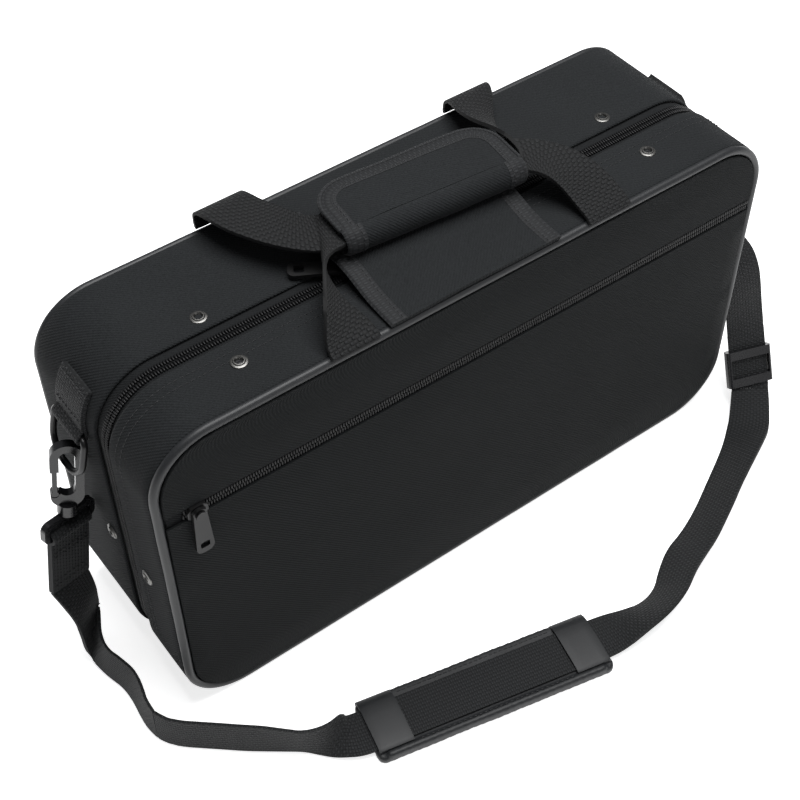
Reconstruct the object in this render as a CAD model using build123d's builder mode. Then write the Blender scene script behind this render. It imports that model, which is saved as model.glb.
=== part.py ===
"""Soft clarinet case: a cloth-covered box in two halves, zipped round three sides, with a carrying
handle, a front pocket and a shoulder strap. Millimetres, +Z up.

The case stands on its hinge side. X runs along its length, -Y points out of the pocket side, and the
origin is the middle of the underside. The deep half (base) lies behind the zipper, the shallow half
(lid) in front of it.
"""
import os
from math import asin, atan2, cos, degrees, radians, sin

from build123d import *

os.makedirs("parts", exist_ok=True)

# ---- driving dimensions -----------------------------------------------------------------------
case_length = 380.0
case_height = 208.0
case_depth = 115.0
lid_depth = 45.0
corner_radius = 35.0

cover_wall = 2.0
seam_chamfer = 9.0
piping_radius = 2.4
bead_sides = 8
layer_gap = 0.2
half_gap = 0.25

tape_thickness = 0.8
base_tape_showing = 7.6
lid_tape_showing = 5.7
tape_hidden = 5.6
chain_width = 2.8
chain_height = 1.4
zip_bottom = 38.0

frame_wall = 2.5
frame_step_back = 12.0
padding_wall = 7.0
padding_floor = 8.0

rivet_head_radius = 4.4
rivet_head_height = 1.3
rivet_shank_radius = 2.0
rivet_hole_clearance = 0.1
rivet_sides = 12
rivet_reach = 125.0
rivet_side_height = 94.0
base_rivet_setback = 15.7
lid_rivet_setback = 19.7

pocket_panel_thickness = 1.6
pocket_gap = 1.0
pocket_wall = 2.0
pocket_zip_height = 159.0
pocket_slit = 8.2
pocket_zip_start = -176.0

handle_width = 27.0
handle_thickness = 1.8
strap_width = 25.0
strap_thickness = 1.6

flap_width = 102.0
flap_centre_x = -6.0
flap_thickness = 1.8
flap_lift = 6.6
flap_foot_y = -41.0
flap_slope_y = -29.0
flap_crest_front_y = -18.0
flap_crest_back_y = -4.0
flap_fall_y = 7.0
flap_landing_y = 15.0
flap_end_y = 33.0
patch_margin = 7.0
patch_depth = 16.0
patch_thickness = 0.9
patch_centre_y = 23.0

grip_length = 102.0
grip_centre = (0.0, -4.0)
grip_turn = -4.5
grip_cloth = 2.0
grip_inside = 9.9
grip_depth = 28.5
grip_lift = 9.6

slider_length = 11.0
slider_plate = 1.5
slider_gap = 0.3
pull_length = 28.0
pull_thickness = 1.8
pull_end_width = 10.0
pull_neck_width = 7.0
pull_pin_radius = 1.27
pull_pin_clearance = 0.08
left_slider_x = -50.0
right_slider_x = -38.0
pocket_slider_x = pocket_zip_start + 7.0
left_pull_turn = 32.0

ring_y = 15.5
ring_drop = 40.0
ring_wire_radius = 1.75
ring_wire_sides = 8
ring_half_width = 15.0
ring_depth = 25.5
ring_corner = 3.0
ring_bow = 12.5
tab_width = 25.0
tab_webbing = 1.4
tab_wrap = 37.0

eye_inner_width = 26.2
eye_wire = 3.4
eye_inner_height = 6.0
eye_side_gap = 0.4
hook_inner_radius = 3.9
hook_wire = 4.3
hook_thickness = 5.0
hook_straight = 25.6
collar_height = 6.0
collar_radius = 5.2
post_radius = 2.0
post_clearance = 0.06
gate_thickness = 2.4
gate_gap = 0.3
gate_slot = 15.5
strap_end_length = 42.0

# How each hand's ring, swivel and hook hang, in degrees, and how far the eye's middle is below the
# ring's bar.
ring_tilt = {"left": 14.7, "right": 34.0}
hook_lean = {"left": 10.0, "right": 0.0}
hook_turn = {"left": -22.0, "right": 0.0}
eye_turn = {"left": 15.0, "right": 0.0}
strap_end_turn = {"left": 0.0, "right": -85.0}
eye_drop = {"left": 64.0, "right": 59.3}

pad_length = 138.0
pad_width = 37.0
pad_thickness = 4.0
pad_lip = 2.2
pad_centre = (-58.0, -139.2)
pad_turn = -12.4
pad_play = 8.0
keeper_width = 16.0
keeper_thickness = 1.4

# ---- sizes that follow ------------------------------------------------------------------------
back_y = case_depth / 2
front_y = -case_depth / 2
parting_y = front_y + lid_depth
side_x = case_length / 2
base_hem_y = parting_y + base_tape_showing
lid_hem_y = parting_y - lid_tape_showing
piping_seat = 2 * piping_radius + layer_gap
tape_inset = cover_wall + layer_gap
frame_inset = tape_inset + tape_thickness + layer_gap
padding_inset = frame_inset + frame_wall + layer_gap
lid_wall = pocket_panel_thickness + pocket_gap + pocket_wall
base_inner_y = back_y - cover_wall
lid_inner_y = front_y + lid_wall
ring_bar_height = case_height - ring_drop
hook_x = side_x + eye_side_gap + eye_inner_width / 2 + eye_wire
grip_underside = case_height + grip_lift
grip_top = grip_underside + 2 * grip_cloth + grip_inside


# ---- shared shapes ----------------------------------------------------------------------------
def level(y, inward=-1):
    """The upright plane at y, centred on the case, whose normal points along inward times Y."""
    return Plane(origin=(0, y, case_height / 2), x_dir=(1, 0, 0), z_dir=(0, inward, 0))


def case_outline(y, inset, inward=-1):
    """The case's rounded outline drawn in by inset, at y."""
    with BuildSketch(level(y, inward)) as outline:
        RectangleRounded(
            case_length - 2 * inset, case_height - 2 * inset, corner_radius - inset
        )
    return outline.sketch


def block(y_from, y_to, inset, mode=Mode.ADD):
    """A solid with the case's rounded outline between two levels."""
    inward = 1 if y_to > y_from else -1
    extrude(case_outline(y_from, inset, inward), amount=abs(y_to - y_from), mode=mode)


def hoop(y_from, y_to, outer_inset, inner_inset):
    """A closed band that follows the case's rounded outline."""
    block(y_from, y_to, outer_inset)
    block(y_from, y_to, inner_inset, mode=Mode.SUBTRACT)


def piping_bead(y, radius, mode=Mode.ADD):
    """A cord along the case's outline, flush with the gusset. radius is to its flats."""
    path = case_outline(y, piping_radius).wire()
    with BuildSketch(Plane(origin=path @ 0, z_dir=path % 0)) as section:
        RegularPolygon(radius, bead_sides, major_radius=False, rotation=180 / bead_sides)
    sweep(section.sketch, path=path, mode=mode)


def cover(half, panel_y, hem_y, wall):
    """A cloth tray: a panel at panel_y, a gusset that ends at hem_y, a seat for the piping."""
    inward = 1 if hem_y > panel_y else -1
    block(panel_y, hem_y, 0)
    block(panel_y + inward * wall, hem_y, cover_wall, mode=Mode.SUBTRACT)
    levels = half.edges().group_by(Axis.Y)
    chamfer(levels[1 if inward > 0 else -2], seam_chamfer)
    rim = case_outline(panel_y, 0, inward) - case_outline(panel_y, piping_seat, inward)
    extrude(rim, amount=piping_seat, mode=Mode.SUBTRACT)


def drill_rivet_holes(rivet_y):
    """Holes for the four rivets of one half: two through the top and one through each end."""
    with Locations(*rivet_planes(rivet_y)):
        Hole(rivet_shank_radius + rivet_hole_clearance, depth=frame_inset + frame_wall + layer_gap)


def rivet_planes(rivet_y):
    """Where one half's rivets enter, each plane facing out of the case."""
    tops = [
        Plane(origin=(x, rivet_y, case_height), z_dir=(0, 0, 1)) for x in (-rivet_reach, rivet_reach)
    ]
    ends = [
        Plane(origin=(side * side_x, rivet_y, rivet_side_height), z_dir=(side, 0, 0))
        for side in (-1, 1)
    ]
    return tops + ends


def rivets(rivet_y):
    """Four rivets: a head outside and a shank through cover and frame."""
    for plane in rivet_planes(rivet_y):
        with BuildSketch(plane) as head:
            RegularPolygon(rivet_head_radius, rivet_sides)
        extrude(head.sketch, amount=rivet_head_height)
        with BuildSketch(plane) as shank:
            RegularPolygon(rivet_shank_radius, rivet_sides)
        extrude(shank.sketch, amount=-frame_inset - frame_wall)


def upper_band(y_from, y_to, outer_inset, inner_inset):
    """A band over the top and down both ends, as far as the zipper reaches."""
    hoop(y_from, y_to, outer_inset, inner_inset)
    split(bisect_by=Plane.XY.offset(zip_bottom), keep=Keep.TOP)


def lower_band(y_from, y_to, outer_inset, inner_inset):
    """A band under the case and round its bottom corners, where the hinge cloth is sewn."""
    hoop(y_from, y_to, outer_inset, inner_inset)
    split(bisect_by=Plane.XY.offset(zip_bottom - half_gap), keep=Keep.BOTTOM)


def heading(turn, tilt=0):
    """The unit vector at an angle turn round from +X and tilt up from level, in degrees."""
    turn, tilt = radians(turn), radians(tilt)
    return Vector(cos(turn) * cos(tilt), sin(turn) * cos(tilt), sin(tilt))


def ribbon(stations, width, thickness, first_way=None, last_way=None):
    """Flat webbing through stations (x, y, z, turn, tilt), in flat facets.

    turn is the heading of its width and tilt its rise, in degrees. first_way and last_way set the
    direction the webbing leaves its first end and meets its last.
    """
    places = [Vector(*station[:3]) for station in stations]
    ends = {0: first_way, len(places) - 1: last_way}
    sections = []
    for number, (place, station) in enumerate(zip(places, stations)):
        run = places[min(number + 1, len(places) - 1)] - places[max(number - 1, 0)]
        run = ends.get(number) or run
        section = Plane(origin=place, x_dir=heading(*station[3:]), z_dir=run)
        sections.append([
            section.from_local_coords(Vector(right * width / 2, up * thickness / 2))
            for right, up in ((-1, -1), (1, -1), (1, 1), (-1, 1))
        ])
    facets = [Face(Wire.make_polygon(sections[end])) for end in (0, -1)]
    for near, far in zip(sections, sections[1:]):
        for corner in range(4):
            after = (corner + 1) % 4
            facets.append(Face(Wire.make_polygon((near[corner], near[after], far[after]))))
            facets.append(Face(Wire.make_polygon((near[corner], far[after], far[corner]))))
    add(Solid(Shell(facets)))


def export(piece, name):
    """Label a finished piece and write it to its own file."""
    piece.part.label = name
    export_step(piece.part, f"parts/{name}.step")


# ---- covers, piping and stiffening ------------------------------------------------------------
base_rivet_y = parting_y + base_rivet_setback
lid_rivet_y = parting_y - lid_rivet_setback

with BuildPart() as base_cover:
    cover(base_cover, back_y, base_hem_y, cover_wall)
    drill_rivet_holes(base_rivet_y)
export(base_cover, "base_cover")

with BuildPart() as base_piping:
    piping_bead(back_y - piping_radius, piping_radius)
export(base_piping, "base_piping")

with BuildPart() as lid_cover:
    cover(lid_cover, front_y, lid_hem_y, lid_wall)
    block(front_y, front_y + pocket_panel_thickness + pocket_gap, piping_seat,
          mode=Mode.SUBTRACT)
    drill_rivet_holes(lid_rivet_y)
export(lid_cover, "lid_cover")

with BuildPart() as lid_piping:
    piping_bead(front_y + piping_radius, piping_radius)
export(lid_piping, "lid_piping")

frame_back_y = base_inner_y - frame_step_back
frame_front_y = lid_inner_y + seam_chamfer
with BuildPart() as base_frame:
    hoop(parting_y + 2 * half_gap, frame_back_y, frame_inset, frame_inset + frame_wall)
    drill_rivet_holes(base_rivet_y)
export(base_frame, "base_frame")

with BuildPart() as lid_frame:
    hoop(parting_y - 2 * half_gap, frame_front_y, frame_inset, frame_inset + frame_wall)
    drill_rivet_holes(lid_rivet_y)
export(lid_frame, "lid_frame")

with BuildPart() as base_rivets:
    rivets(base_rivet_y)
export(base_rivets, "base_rivets")

with BuildPart() as lid_rivets:
    rivets(lid_rivet_y)
export(lid_rivets, "lid_rivets")

# ---- main zipper and hinge cloth --------------------------------------------------------------
tape_bottom_inset = tape_inset + tape_thickness
for name, away, hem_y in (("base", 1, base_hem_y), ("lid", -1, lid_hem_y)):
    near_y = parting_y + away * half_gap
    far_y = hem_y + away * tape_hidden
    with BuildPart() as zipper_tape:
        upper_band(near_y, far_y, tape_inset, tape_bottom_inset)
    export(zipper_tape, f"{name}_zipper_tape")

    with BuildPart() as zipper_chain:
        upper_band(near_y, near_y + away * chain_width, tape_inset - chain_height, tape_inset)
    export(zipper_chain, f"{name}_zipper_chain")

    with BuildPart() as hinge_cloth:
        lower_band(near_y, far_y, tape_inset, tape_bottom_inset)
    export(hinge_cloth, f"{name}_hinge_cloth")

# ---- instrument insert ------------------------------------------------------------------------
# Channels that lie along X: name, left end, length, middle height, width, depth.
channels = (
    ("lower_joint", -172.0, 270.0, 171.0, 44.0, 42.0),
    ("upper_joint", -172.0, 234.0, 123.0, 44.0, 42.0),
    ("mouthpiece", -172.0, 98.0, 76.0, 38.0, 38.0),
    ("barrel", -68.0, 76.0, 76.0, 38.0, 38.0),
)
swab_box = (-172.0, 180.0, 16.0, 36.0, 40.0)
reed_box = (104.0, 66.0, 154.0, 38.0, 30.0)
bell_start = 66.0
bell_length = 108.0
bell_mouth_radius = 40.0
bell_neck_radius = 23.0
bell_height = 58.0
bell_depth = 60.0
insert_face_y = parting_y + 2 * half_gap
insert_back_y = base_inner_y - layer_gap
padding_chamfer = cover_wall + seam_chamfer + 2 * layer_gap - padding_inset

with BuildPart() as instrument_insert:
    block(insert_back_y, insert_face_y, padding_inset)
    chamfer(instrument_insert.edges().group_by(Axis.Y)[-1], padding_chamfer)
    for name, start, length, height, width, depth in channels:
        bottom = Plane(origin=(start, insert_face_y, height), x_dir=(0, 1, 0), z_dir=(1, 0, 0))
        with BuildSketch(bottom) as channel:
            with Locations((depth - width / 2, 0)):
                Circle(width / 2)
            with Locations((0, 0)):
                Rectangle(depth - width / 2, width, align=(Align.MIN, Align.CENTER))
        extrude(channel.sketch, amount=length, mode=Mode.SUBTRACT)
    for start, length, bottom_z, height, depth in (swab_box, reed_box):
        with Locations((start, insert_face_y, bottom_z)):
            Box(length, depth, height, align=Align.MIN, mode=Mode.SUBTRACT)
    bell_axis_y = insert_face_y + bell_depth - bell_mouth_radius
    with BuildSketch(Plane.XY.offset(bell_height)) as bell_half:
        with BuildLine():
            Polyline(
                (bell_start, bell_axis_y), (bell_start, bell_axis_y + bell_neck_radius),
                (bell_start + bell_length, bell_axis_y + bell_mouth_radius),
                (bell_start + bell_length, bell_axis_y), close=True,
            )
        make_face()
    bell_axis = Axis((bell_start, bell_axis_y, bell_height), (1, 0, 0))
    revolve(bell_half.sketch, axis=bell_axis, mode=Mode.SUBTRACT)
    with BuildSketch(Plane(origin=(0, bell_axis_y, bell_height), x_dir=(1, 0, 0),
                           z_dir=(0, -1, 0))) as bell_silhouette:
        with BuildLine():
            Polyline(
                (bell_start, -bell_neck_radius), (bell_start, bell_neck_radius),
                (bell_start + bell_length, bell_mouth_radius),
                (bell_start + bell_length, -bell_mouth_radius), close=True,
            )
        make_face()
    extrude(bell_silhouette.sketch, amount=bell_axis_y - insert_face_y, mode=Mode.SUBTRACT)
export(instrument_insert, "instrument_insert")

with BuildPart() as lid_padding:
    block(lid_inner_y + layer_gap, parting_y - 2 * half_gap, padding_inset)
    chamfer(lid_padding.edges().group_by(Axis.Y)[0], padding_chamfer)
    block(lid_inner_y + layer_gap + padding_floor, parting_y - 2 * half_gap,
          padding_inset + padding_wall, mode=Mode.SUBTRACT)
export(lid_padding, "lid_padding")

# ---- front pocket -----------------------------------------------------------------------------
panel_inset = piping_seat
panel_back_y = front_y + pocket_panel_thickness
slit_bottom = pocket_zip_height - pocket_slit / 2
slit_top = pocket_zip_height + pocket_slit / 2
pocket_tape_half = pocket_slit / 2 + tape_hidden
pocket_tape_y = panel_back_y + layer_gap / 2
pocket_tape_reach = side_x - panel_inset - 2 * layer_gap
pocket_tape_thickness = tape_thickness - layer_gap

with BuildPart() as pocket_lower_panel:
    block(front_y, panel_back_y, panel_inset)
    split(bisect_by=Plane.XY.offset(slit_bottom), keep=Keep.BOTTOM)
export(pocket_lower_panel, "pocket_lower_panel")

with BuildPart() as pocket_upper_panel:
    block(front_y, panel_back_y, panel_inset)
    split(bisect_by=Plane.XY.offset(slit_top), keep=Keep.TOP)
export(pocket_upper_panel, "pocket_upper_panel")

with BuildPart() as pocket_zipper_tape:
    with Locations((0, pocket_tape_y, pocket_zip_height)):
        Box(2 * pocket_tape_reach, pocket_tape_thickness, 2 * pocket_tape_half,
            align=(Align.CENTER, Align.MIN, Align.CENTER))
export(pocket_zipper_tape, "pocket_zipper_tape")

with BuildPart() as pocket_zipper_chain:
    with Locations((pocket_zip_start, pocket_tape_y, pocket_zip_height)):
        Box(pocket_tape_reach - pocket_zip_start, chain_height, 2 * chain_width,
            align=(Align.MIN, Align.MAX, Align.CENTER))
export(pocket_zipper_chain, "pocket_zipper_chain")


# ---- sliders and pulls ------------------------------------------------------------------------
def pull_outline():
    """A zipper pull, pointing along the sketch's X from its pivot, with a slot near its end."""
    with BuildLine() as edge:
        Polyline(
            (-pull_pin_radius - 1, -pull_neck_width / 2), (pull_length, -pull_end_width / 2),
            (pull_length, pull_end_width / 2), (-pull_pin_radius - 1, pull_neck_width / 2),
            close=True,
        )
    make_face(edge.edges())


chain_top = case_height - tape_inset + chain_height
plate_bottom = chain_top + slider_gap
plate_top = plate_bottom + slider_plate
plate_front_y = parting_y - half_gap - chain_width - 1.3
plate_back_y = parting_y + half_gap + chain_width + 1.3
flange_front_y = parting_y + half_gap + chain_width + slider_gap
tape_top = case_height - tape_inset
lug_length = 5.4
lug_width = 3.0
lug_height = 3.6
pull_pin_height = plate_top + 1.9
pull_slot_half = lug_width / 2 + 0.25

for hand, slider_x, side, pull_turn in (
    ("left", left_slider_x, -1, left_pull_turn), ("right", right_slider_x, 1, 0),
):
    pin_x = slider_x + side * (slider_length / 2 - lug_length / 2 - 0.6)
    pull_way = heading(90 + side * (pull_turn - 90))
    pin_way = Vector(0, 0, 1).cross(pull_way)
    with BuildPart() as zipper_slider:
        with Locations((slider_x, (plate_front_y + plate_back_y) / 2, plate_bottom)):
            Box(slider_length, plate_back_y - plate_front_y, slider_plate,
                align=(Align.CENTER, Align.CENTER, Align.MIN))
        chamfer(zipper_slider.edges().filter_by(Axis.Z), 2)
        with Locations((slider_x, flange_front_y, tape_top + layer_gap)):
            Box(slider_length - 5, plate_back_y - flange_front_y, plate_bottom - tape_top,
                align=(Align.CENTER, Align.MIN, Align.MIN))
        with Locations(Plane(origin=(pin_x, parting_y, plate_top), x_dir=pull_way)):
            Box(lug_length, lug_width, lug_height, align=(Align.CENTER, Align.CENTER, Align.MIN))
        across_lug = zipper_slider.edges().filter_by(Axis((0, 0, 0), pin_way))
        chamfer(across_lug.sort_by(Axis.Z)[-2:], 1)
        with Locations(Plane(origin=(pin_x, parting_y, pull_pin_height), z_dir=pin_way)):
            Cylinder(pull_pin_radius + pull_pin_clearance, 2 * lug_width, mode=Mode.SUBTRACT)
    export(zipper_slider, f"{hand}_zipper_slider")

    lies_on = Plane(origin=(pin_x, parting_y, pull_pin_height - pull_thickness / 2 - 0.2),
                    x_dir=pull_way, z_dir=(0, 0, 1))
    with BuildPart() as zipper_pull:
        with BuildSketch(lies_on) as pull_shape:
            pull_outline()
            fillet(pull_shape.vertices().group_by(Axis.X)[-1], 3.6)
            with Locations((pull_length - 5.5, 0)):
                RectangleRounded(5, 5, 1, mode=Mode.SUBTRACT)
            with Locations((0, 0)):
                Rectangle(2 * (lug_length / 2 + 1.2), 2 * pull_slot_half, mode=Mode.SUBTRACT)
        extrude(pull_shape.sketch, amount=pull_thickness)
        with Locations(Plane(origin=(pin_x, parting_y, pull_pin_height), z_dir=pin_way)):
            Cylinder(pull_pin_radius, pull_neck_width - 0.4)
    export(zipper_pull, f"{hand}_zipper_pull")

chain_front_y = pocket_tape_y - chain_height
pocket_plate_back_y = chain_front_y - slider_gap
pocket_plate_front_y = pocket_plate_back_y - slider_plate
flange_thickness = 0.6
flange_inner = chain_width + slider_gap
post_length = 3.4
button_radius = 2.6
button_thickness = 0.7
pocket_pull_back_y = pocket_plate_front_y - 0.3
pocket_pin_radius = 1.6

with BuildPart() as pocket_zipper_slider:
    with Locations((pocket_slider_x, pocket_plate_back_y, pocket_zip_height)):
        Box(slider_length, slider_plate, 2 * (flange_inner + flange_thickness),
            align=(Align.CENTER, Align.MAX, Align.CENTER))
    chamfer(pocket_zipper_slider.edges().filter_by(Axis.Y), 2)
    for side in (-1, 1):
        with Locations((pocket_slider_x, pocket_plate_back_y,
                        pocket_zip_height + side * (flange_inner + flange_thickness / 2))):
            Box(slider_length - 5, chain_height, flange_thickness,
                align=(Align.CENTER, Align.MIN, Align.CENTER))
    with Locations(Plane(origin=(pocket_slider_x, pocket_plate_front_y, pocket_zip_height),
                         z_dir=(0, -1, 0))):
        Cylinder(pocket_pin_radius, post_length, align=(Align.CENTER, Align.CENTER, Align.MIN))
    with Locations(Plane(origin=(pocket_slider_x, pocket_plate_front_y - post_length,
                                 pocket_zip_height), z_dir=(0, -1, 0))):
        Cylinder(button_radius, button_thickness, align=(Align.CENTER, Align.CENTER, Align.MAX))
export(pocket_zipper_slider, "pocket_zipper_slider")

with BuildPart() as pocket_zipper_pull:
    with BuildSketch(Plane(origin=(pocket_slider_x, pocket_pull_back_y, pocket_zip_height),
                           x_dir=(0, 0, -1), z_dir=(0, -1, 0))) as pull_shape:
        pull_outline()
        Circle(pull_neck_width / 2)
        fillet(pull_shape.vertices().group_by(Axis.X)[-1], 3.6)
        with Locations((pull_length - 5.5, 0)):
            RectangleRounded(4, 5, 1, mode=Mode.SUBTRACT)
        Circle(pocket_pin_radius + pull_pin_clearance, mode=Mode.SUBTRACT)
    extrude(pull_shape.sketch, amount=pull_thickness)
export(pocket_zipper_pull, "pocket_zipper_pull")

# ---- closure flap and handles -----------------------------------------------------------------
flap_height = case_height + layer_gap + flap_thickness / 2
flap_on_patch = flap_height + patch_thickness + 3 * layer_gap
flap_route = (
    (front_y + flap_thickness / 2, flap_height), (flap_foot_y, flap_height + layer_gap),
    (flap_slope_y, flap_height + flap_lift / 2), (flap_crest_front_y, flap_height + flap_lift),
    (flap_crest_back_y, flap_height + flap_lift), (flap_fall_y, flap_height + 0.67 * flap_lift),
    (flap_landing_y, flap_on_patch), (flap_end_y, flap_on_patch),
)
with BuildPart() as closure_flap:
    ribbon([(flap_centre_x, y, z, 0) for y, z in flap_route], flap_width, flap_thickness)
export(closure_flap, "closure_flap")

with BuildPart() as closure_loop_patch:
    with Locations((flap_centre_x, patch_centre_y, case_height)):
        Box(flap_width - 2 * patch_margin, patch_depth, patch_thickness,
            align=(Align.CENTER, Align.CENTER, Align.MIN))
export(closure_loop_patch, "closure_loop_patch")

# Stations of the two handle webbings: x, y, height above the case, heading of the width.
front_handle_route = (
    (-77.5, -56.4, 1.4, 0), (-77.2, -47, 4.4, 0), (-76, -36.5, 9.6, -3),
    (-71.5, -24.5, 14.6, -25), (-63, -11, 17.2, -60), (-52.5, 0.1, 17.9, -94.5),
    (52.5, -8.1, 17.9, -94.5), (62, -16, 17.2, -125), (70, -27.5, 14.6, -155),
    (75, -38, 9.6, -175), (76.5, -48, 4.4, -180), (76.5, -56.4, 1.4, -180),
)
back_handle_route = (
    (-81, 56.3, 1.6, 0), (-81.5, 54.4, 8.5, 0), (-80, 46.5, 13.6, 4),
    (-76, 33, 14.6, 14), (-69, 18, 14.9, 42), (-60, 5, 15, 68), (-52.5, 0.1, 15.1, 85.5),
    (52.5, -8.1, 15.1, 85.5), (59, -3, 15, 112), (65.5, 11, 14.9, 140), (70, 27, 14.6, 165),
    (73, 44, 13.6, 176), (73, 54.4, 8.5, 180), (73, 56.3, 1.6, 180),
)
for name, route in (
    ("front_handle_webbing", front_handle_route), ("back_handle_webbing", back_handle_route),
):
    with BuildPart() as handle_webbing:
        ribbon([(x, y, case_height + lift, turn) for x, y, lift, turn in route],
               handle_width, handle_thickness)
    export(handle_webbing, name)

grip_along = heading(grip_turn)
grip_across = heading(90 + grip_turn)
grip_start = Vector(*grip_centre, grip_underside) - grip_along * (grip_length / 2)
roll_radius = grip_inside / 2 + grip_cloth
roll_offset = -9.5
wrap_reach = 17.0

with BuildPart() as grip_wrap:
    with BuildSketch(Plane(origin=grip_start, x_dir=grip_across, z_dir=grip_along)) as wrap_shape:
        with Locations((roll_offset, roll_radius)):
            Circle(roll_radius)
            Circle(roll_radius - grip_cloth, mode=Mode.SUBTRACT)
            Rectangle(roll_radius, 2 * roll_radius, align=(Align.MIN, Align.CENTER),
                      mode=Mode.SUBTRACT)
        with Locations((roll_offset, 0)):
            Rectangle(wrap_reach - roll_offset, grip_cloth, align=Align.MIN)
    extrude(wrap_shape.sketch, amount=grip_length)
export(grip_wrap, "grip_wrap")

flap_start = roll_offset + layer_gap
with BuildPart() as grip_flap:
    with BuildSketch(Plane(origin=(grip_centre[0], grip_centre[1], grip_top),
                           x_dir=grip_along, z_dir=(0, 0, -1))) as flap_shape:
        with Locations((0, -flap_start)):
            Rectangle(grip_length, grip_depth, align=(Align.CENTER, Align.MAX))
        fillet(flap_shape.vertices().group_by(Axis.Y)[0], 13)
    extrude(flap_shape.sketch, amount=grip_cloth)
export(grip_flap, "grip_flap")

# ---- rings, swivel snap hooks and strap ends --------------------------------------------------
bar_x = side_x + tab_webbing + ring_wire_radius + 0.35
eye_width = eye_inner_width + 2 * eye_wire
eye_half_height = eye_inner_height / 2 + eye_wire
eye_bar = -(eye_inner_height + eye_wire) / 2
# Heights up the swivel's axis, from the middle of its eye.
collar_bottom = eye_half_height + gate_gap
post_head_bottom = collar_bottom + 2.6
hook_foot = collar_bottom + collar_height - 1.0
hook_outer_radius = hook_inner_radius + hook_wire
hook_top = hook_foot + hook_outer_radius + hook_straight
post_head_radius = collar_radius - 2.1
post_head_height = 2.2
gate_pivot_out = (hook_inner_radius + hook_outer_radius) / 2
gate_pivot_height = hook_top - hook_straight + 1.0
gate_knuckle = 1.9
gate_slot_top = gate_pivot_height + gate_slot
loop_inner_radius = eye_wire / 2 * 2 ** 0.5 + layer_gap
loop_outer_radius = loop_inner_radius + strap_thickness
strap_end_frames = {}


def swivel_frame(hand, side, turn):
    """The frame at a swivel eye's middle: X points outwards, Z up the swivel's axis."""
    axis = heading(90 + side * 90, 90 - hook_lean[hand])
    out = heading(90 - side * (90 + turn))
    return Plane(origin=(side * hook_x, ring_y, ring_bar_height - eye_drop[hand]),
                 x_dir=out - axis * out.dot(axis), z_dir=axis)


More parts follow.
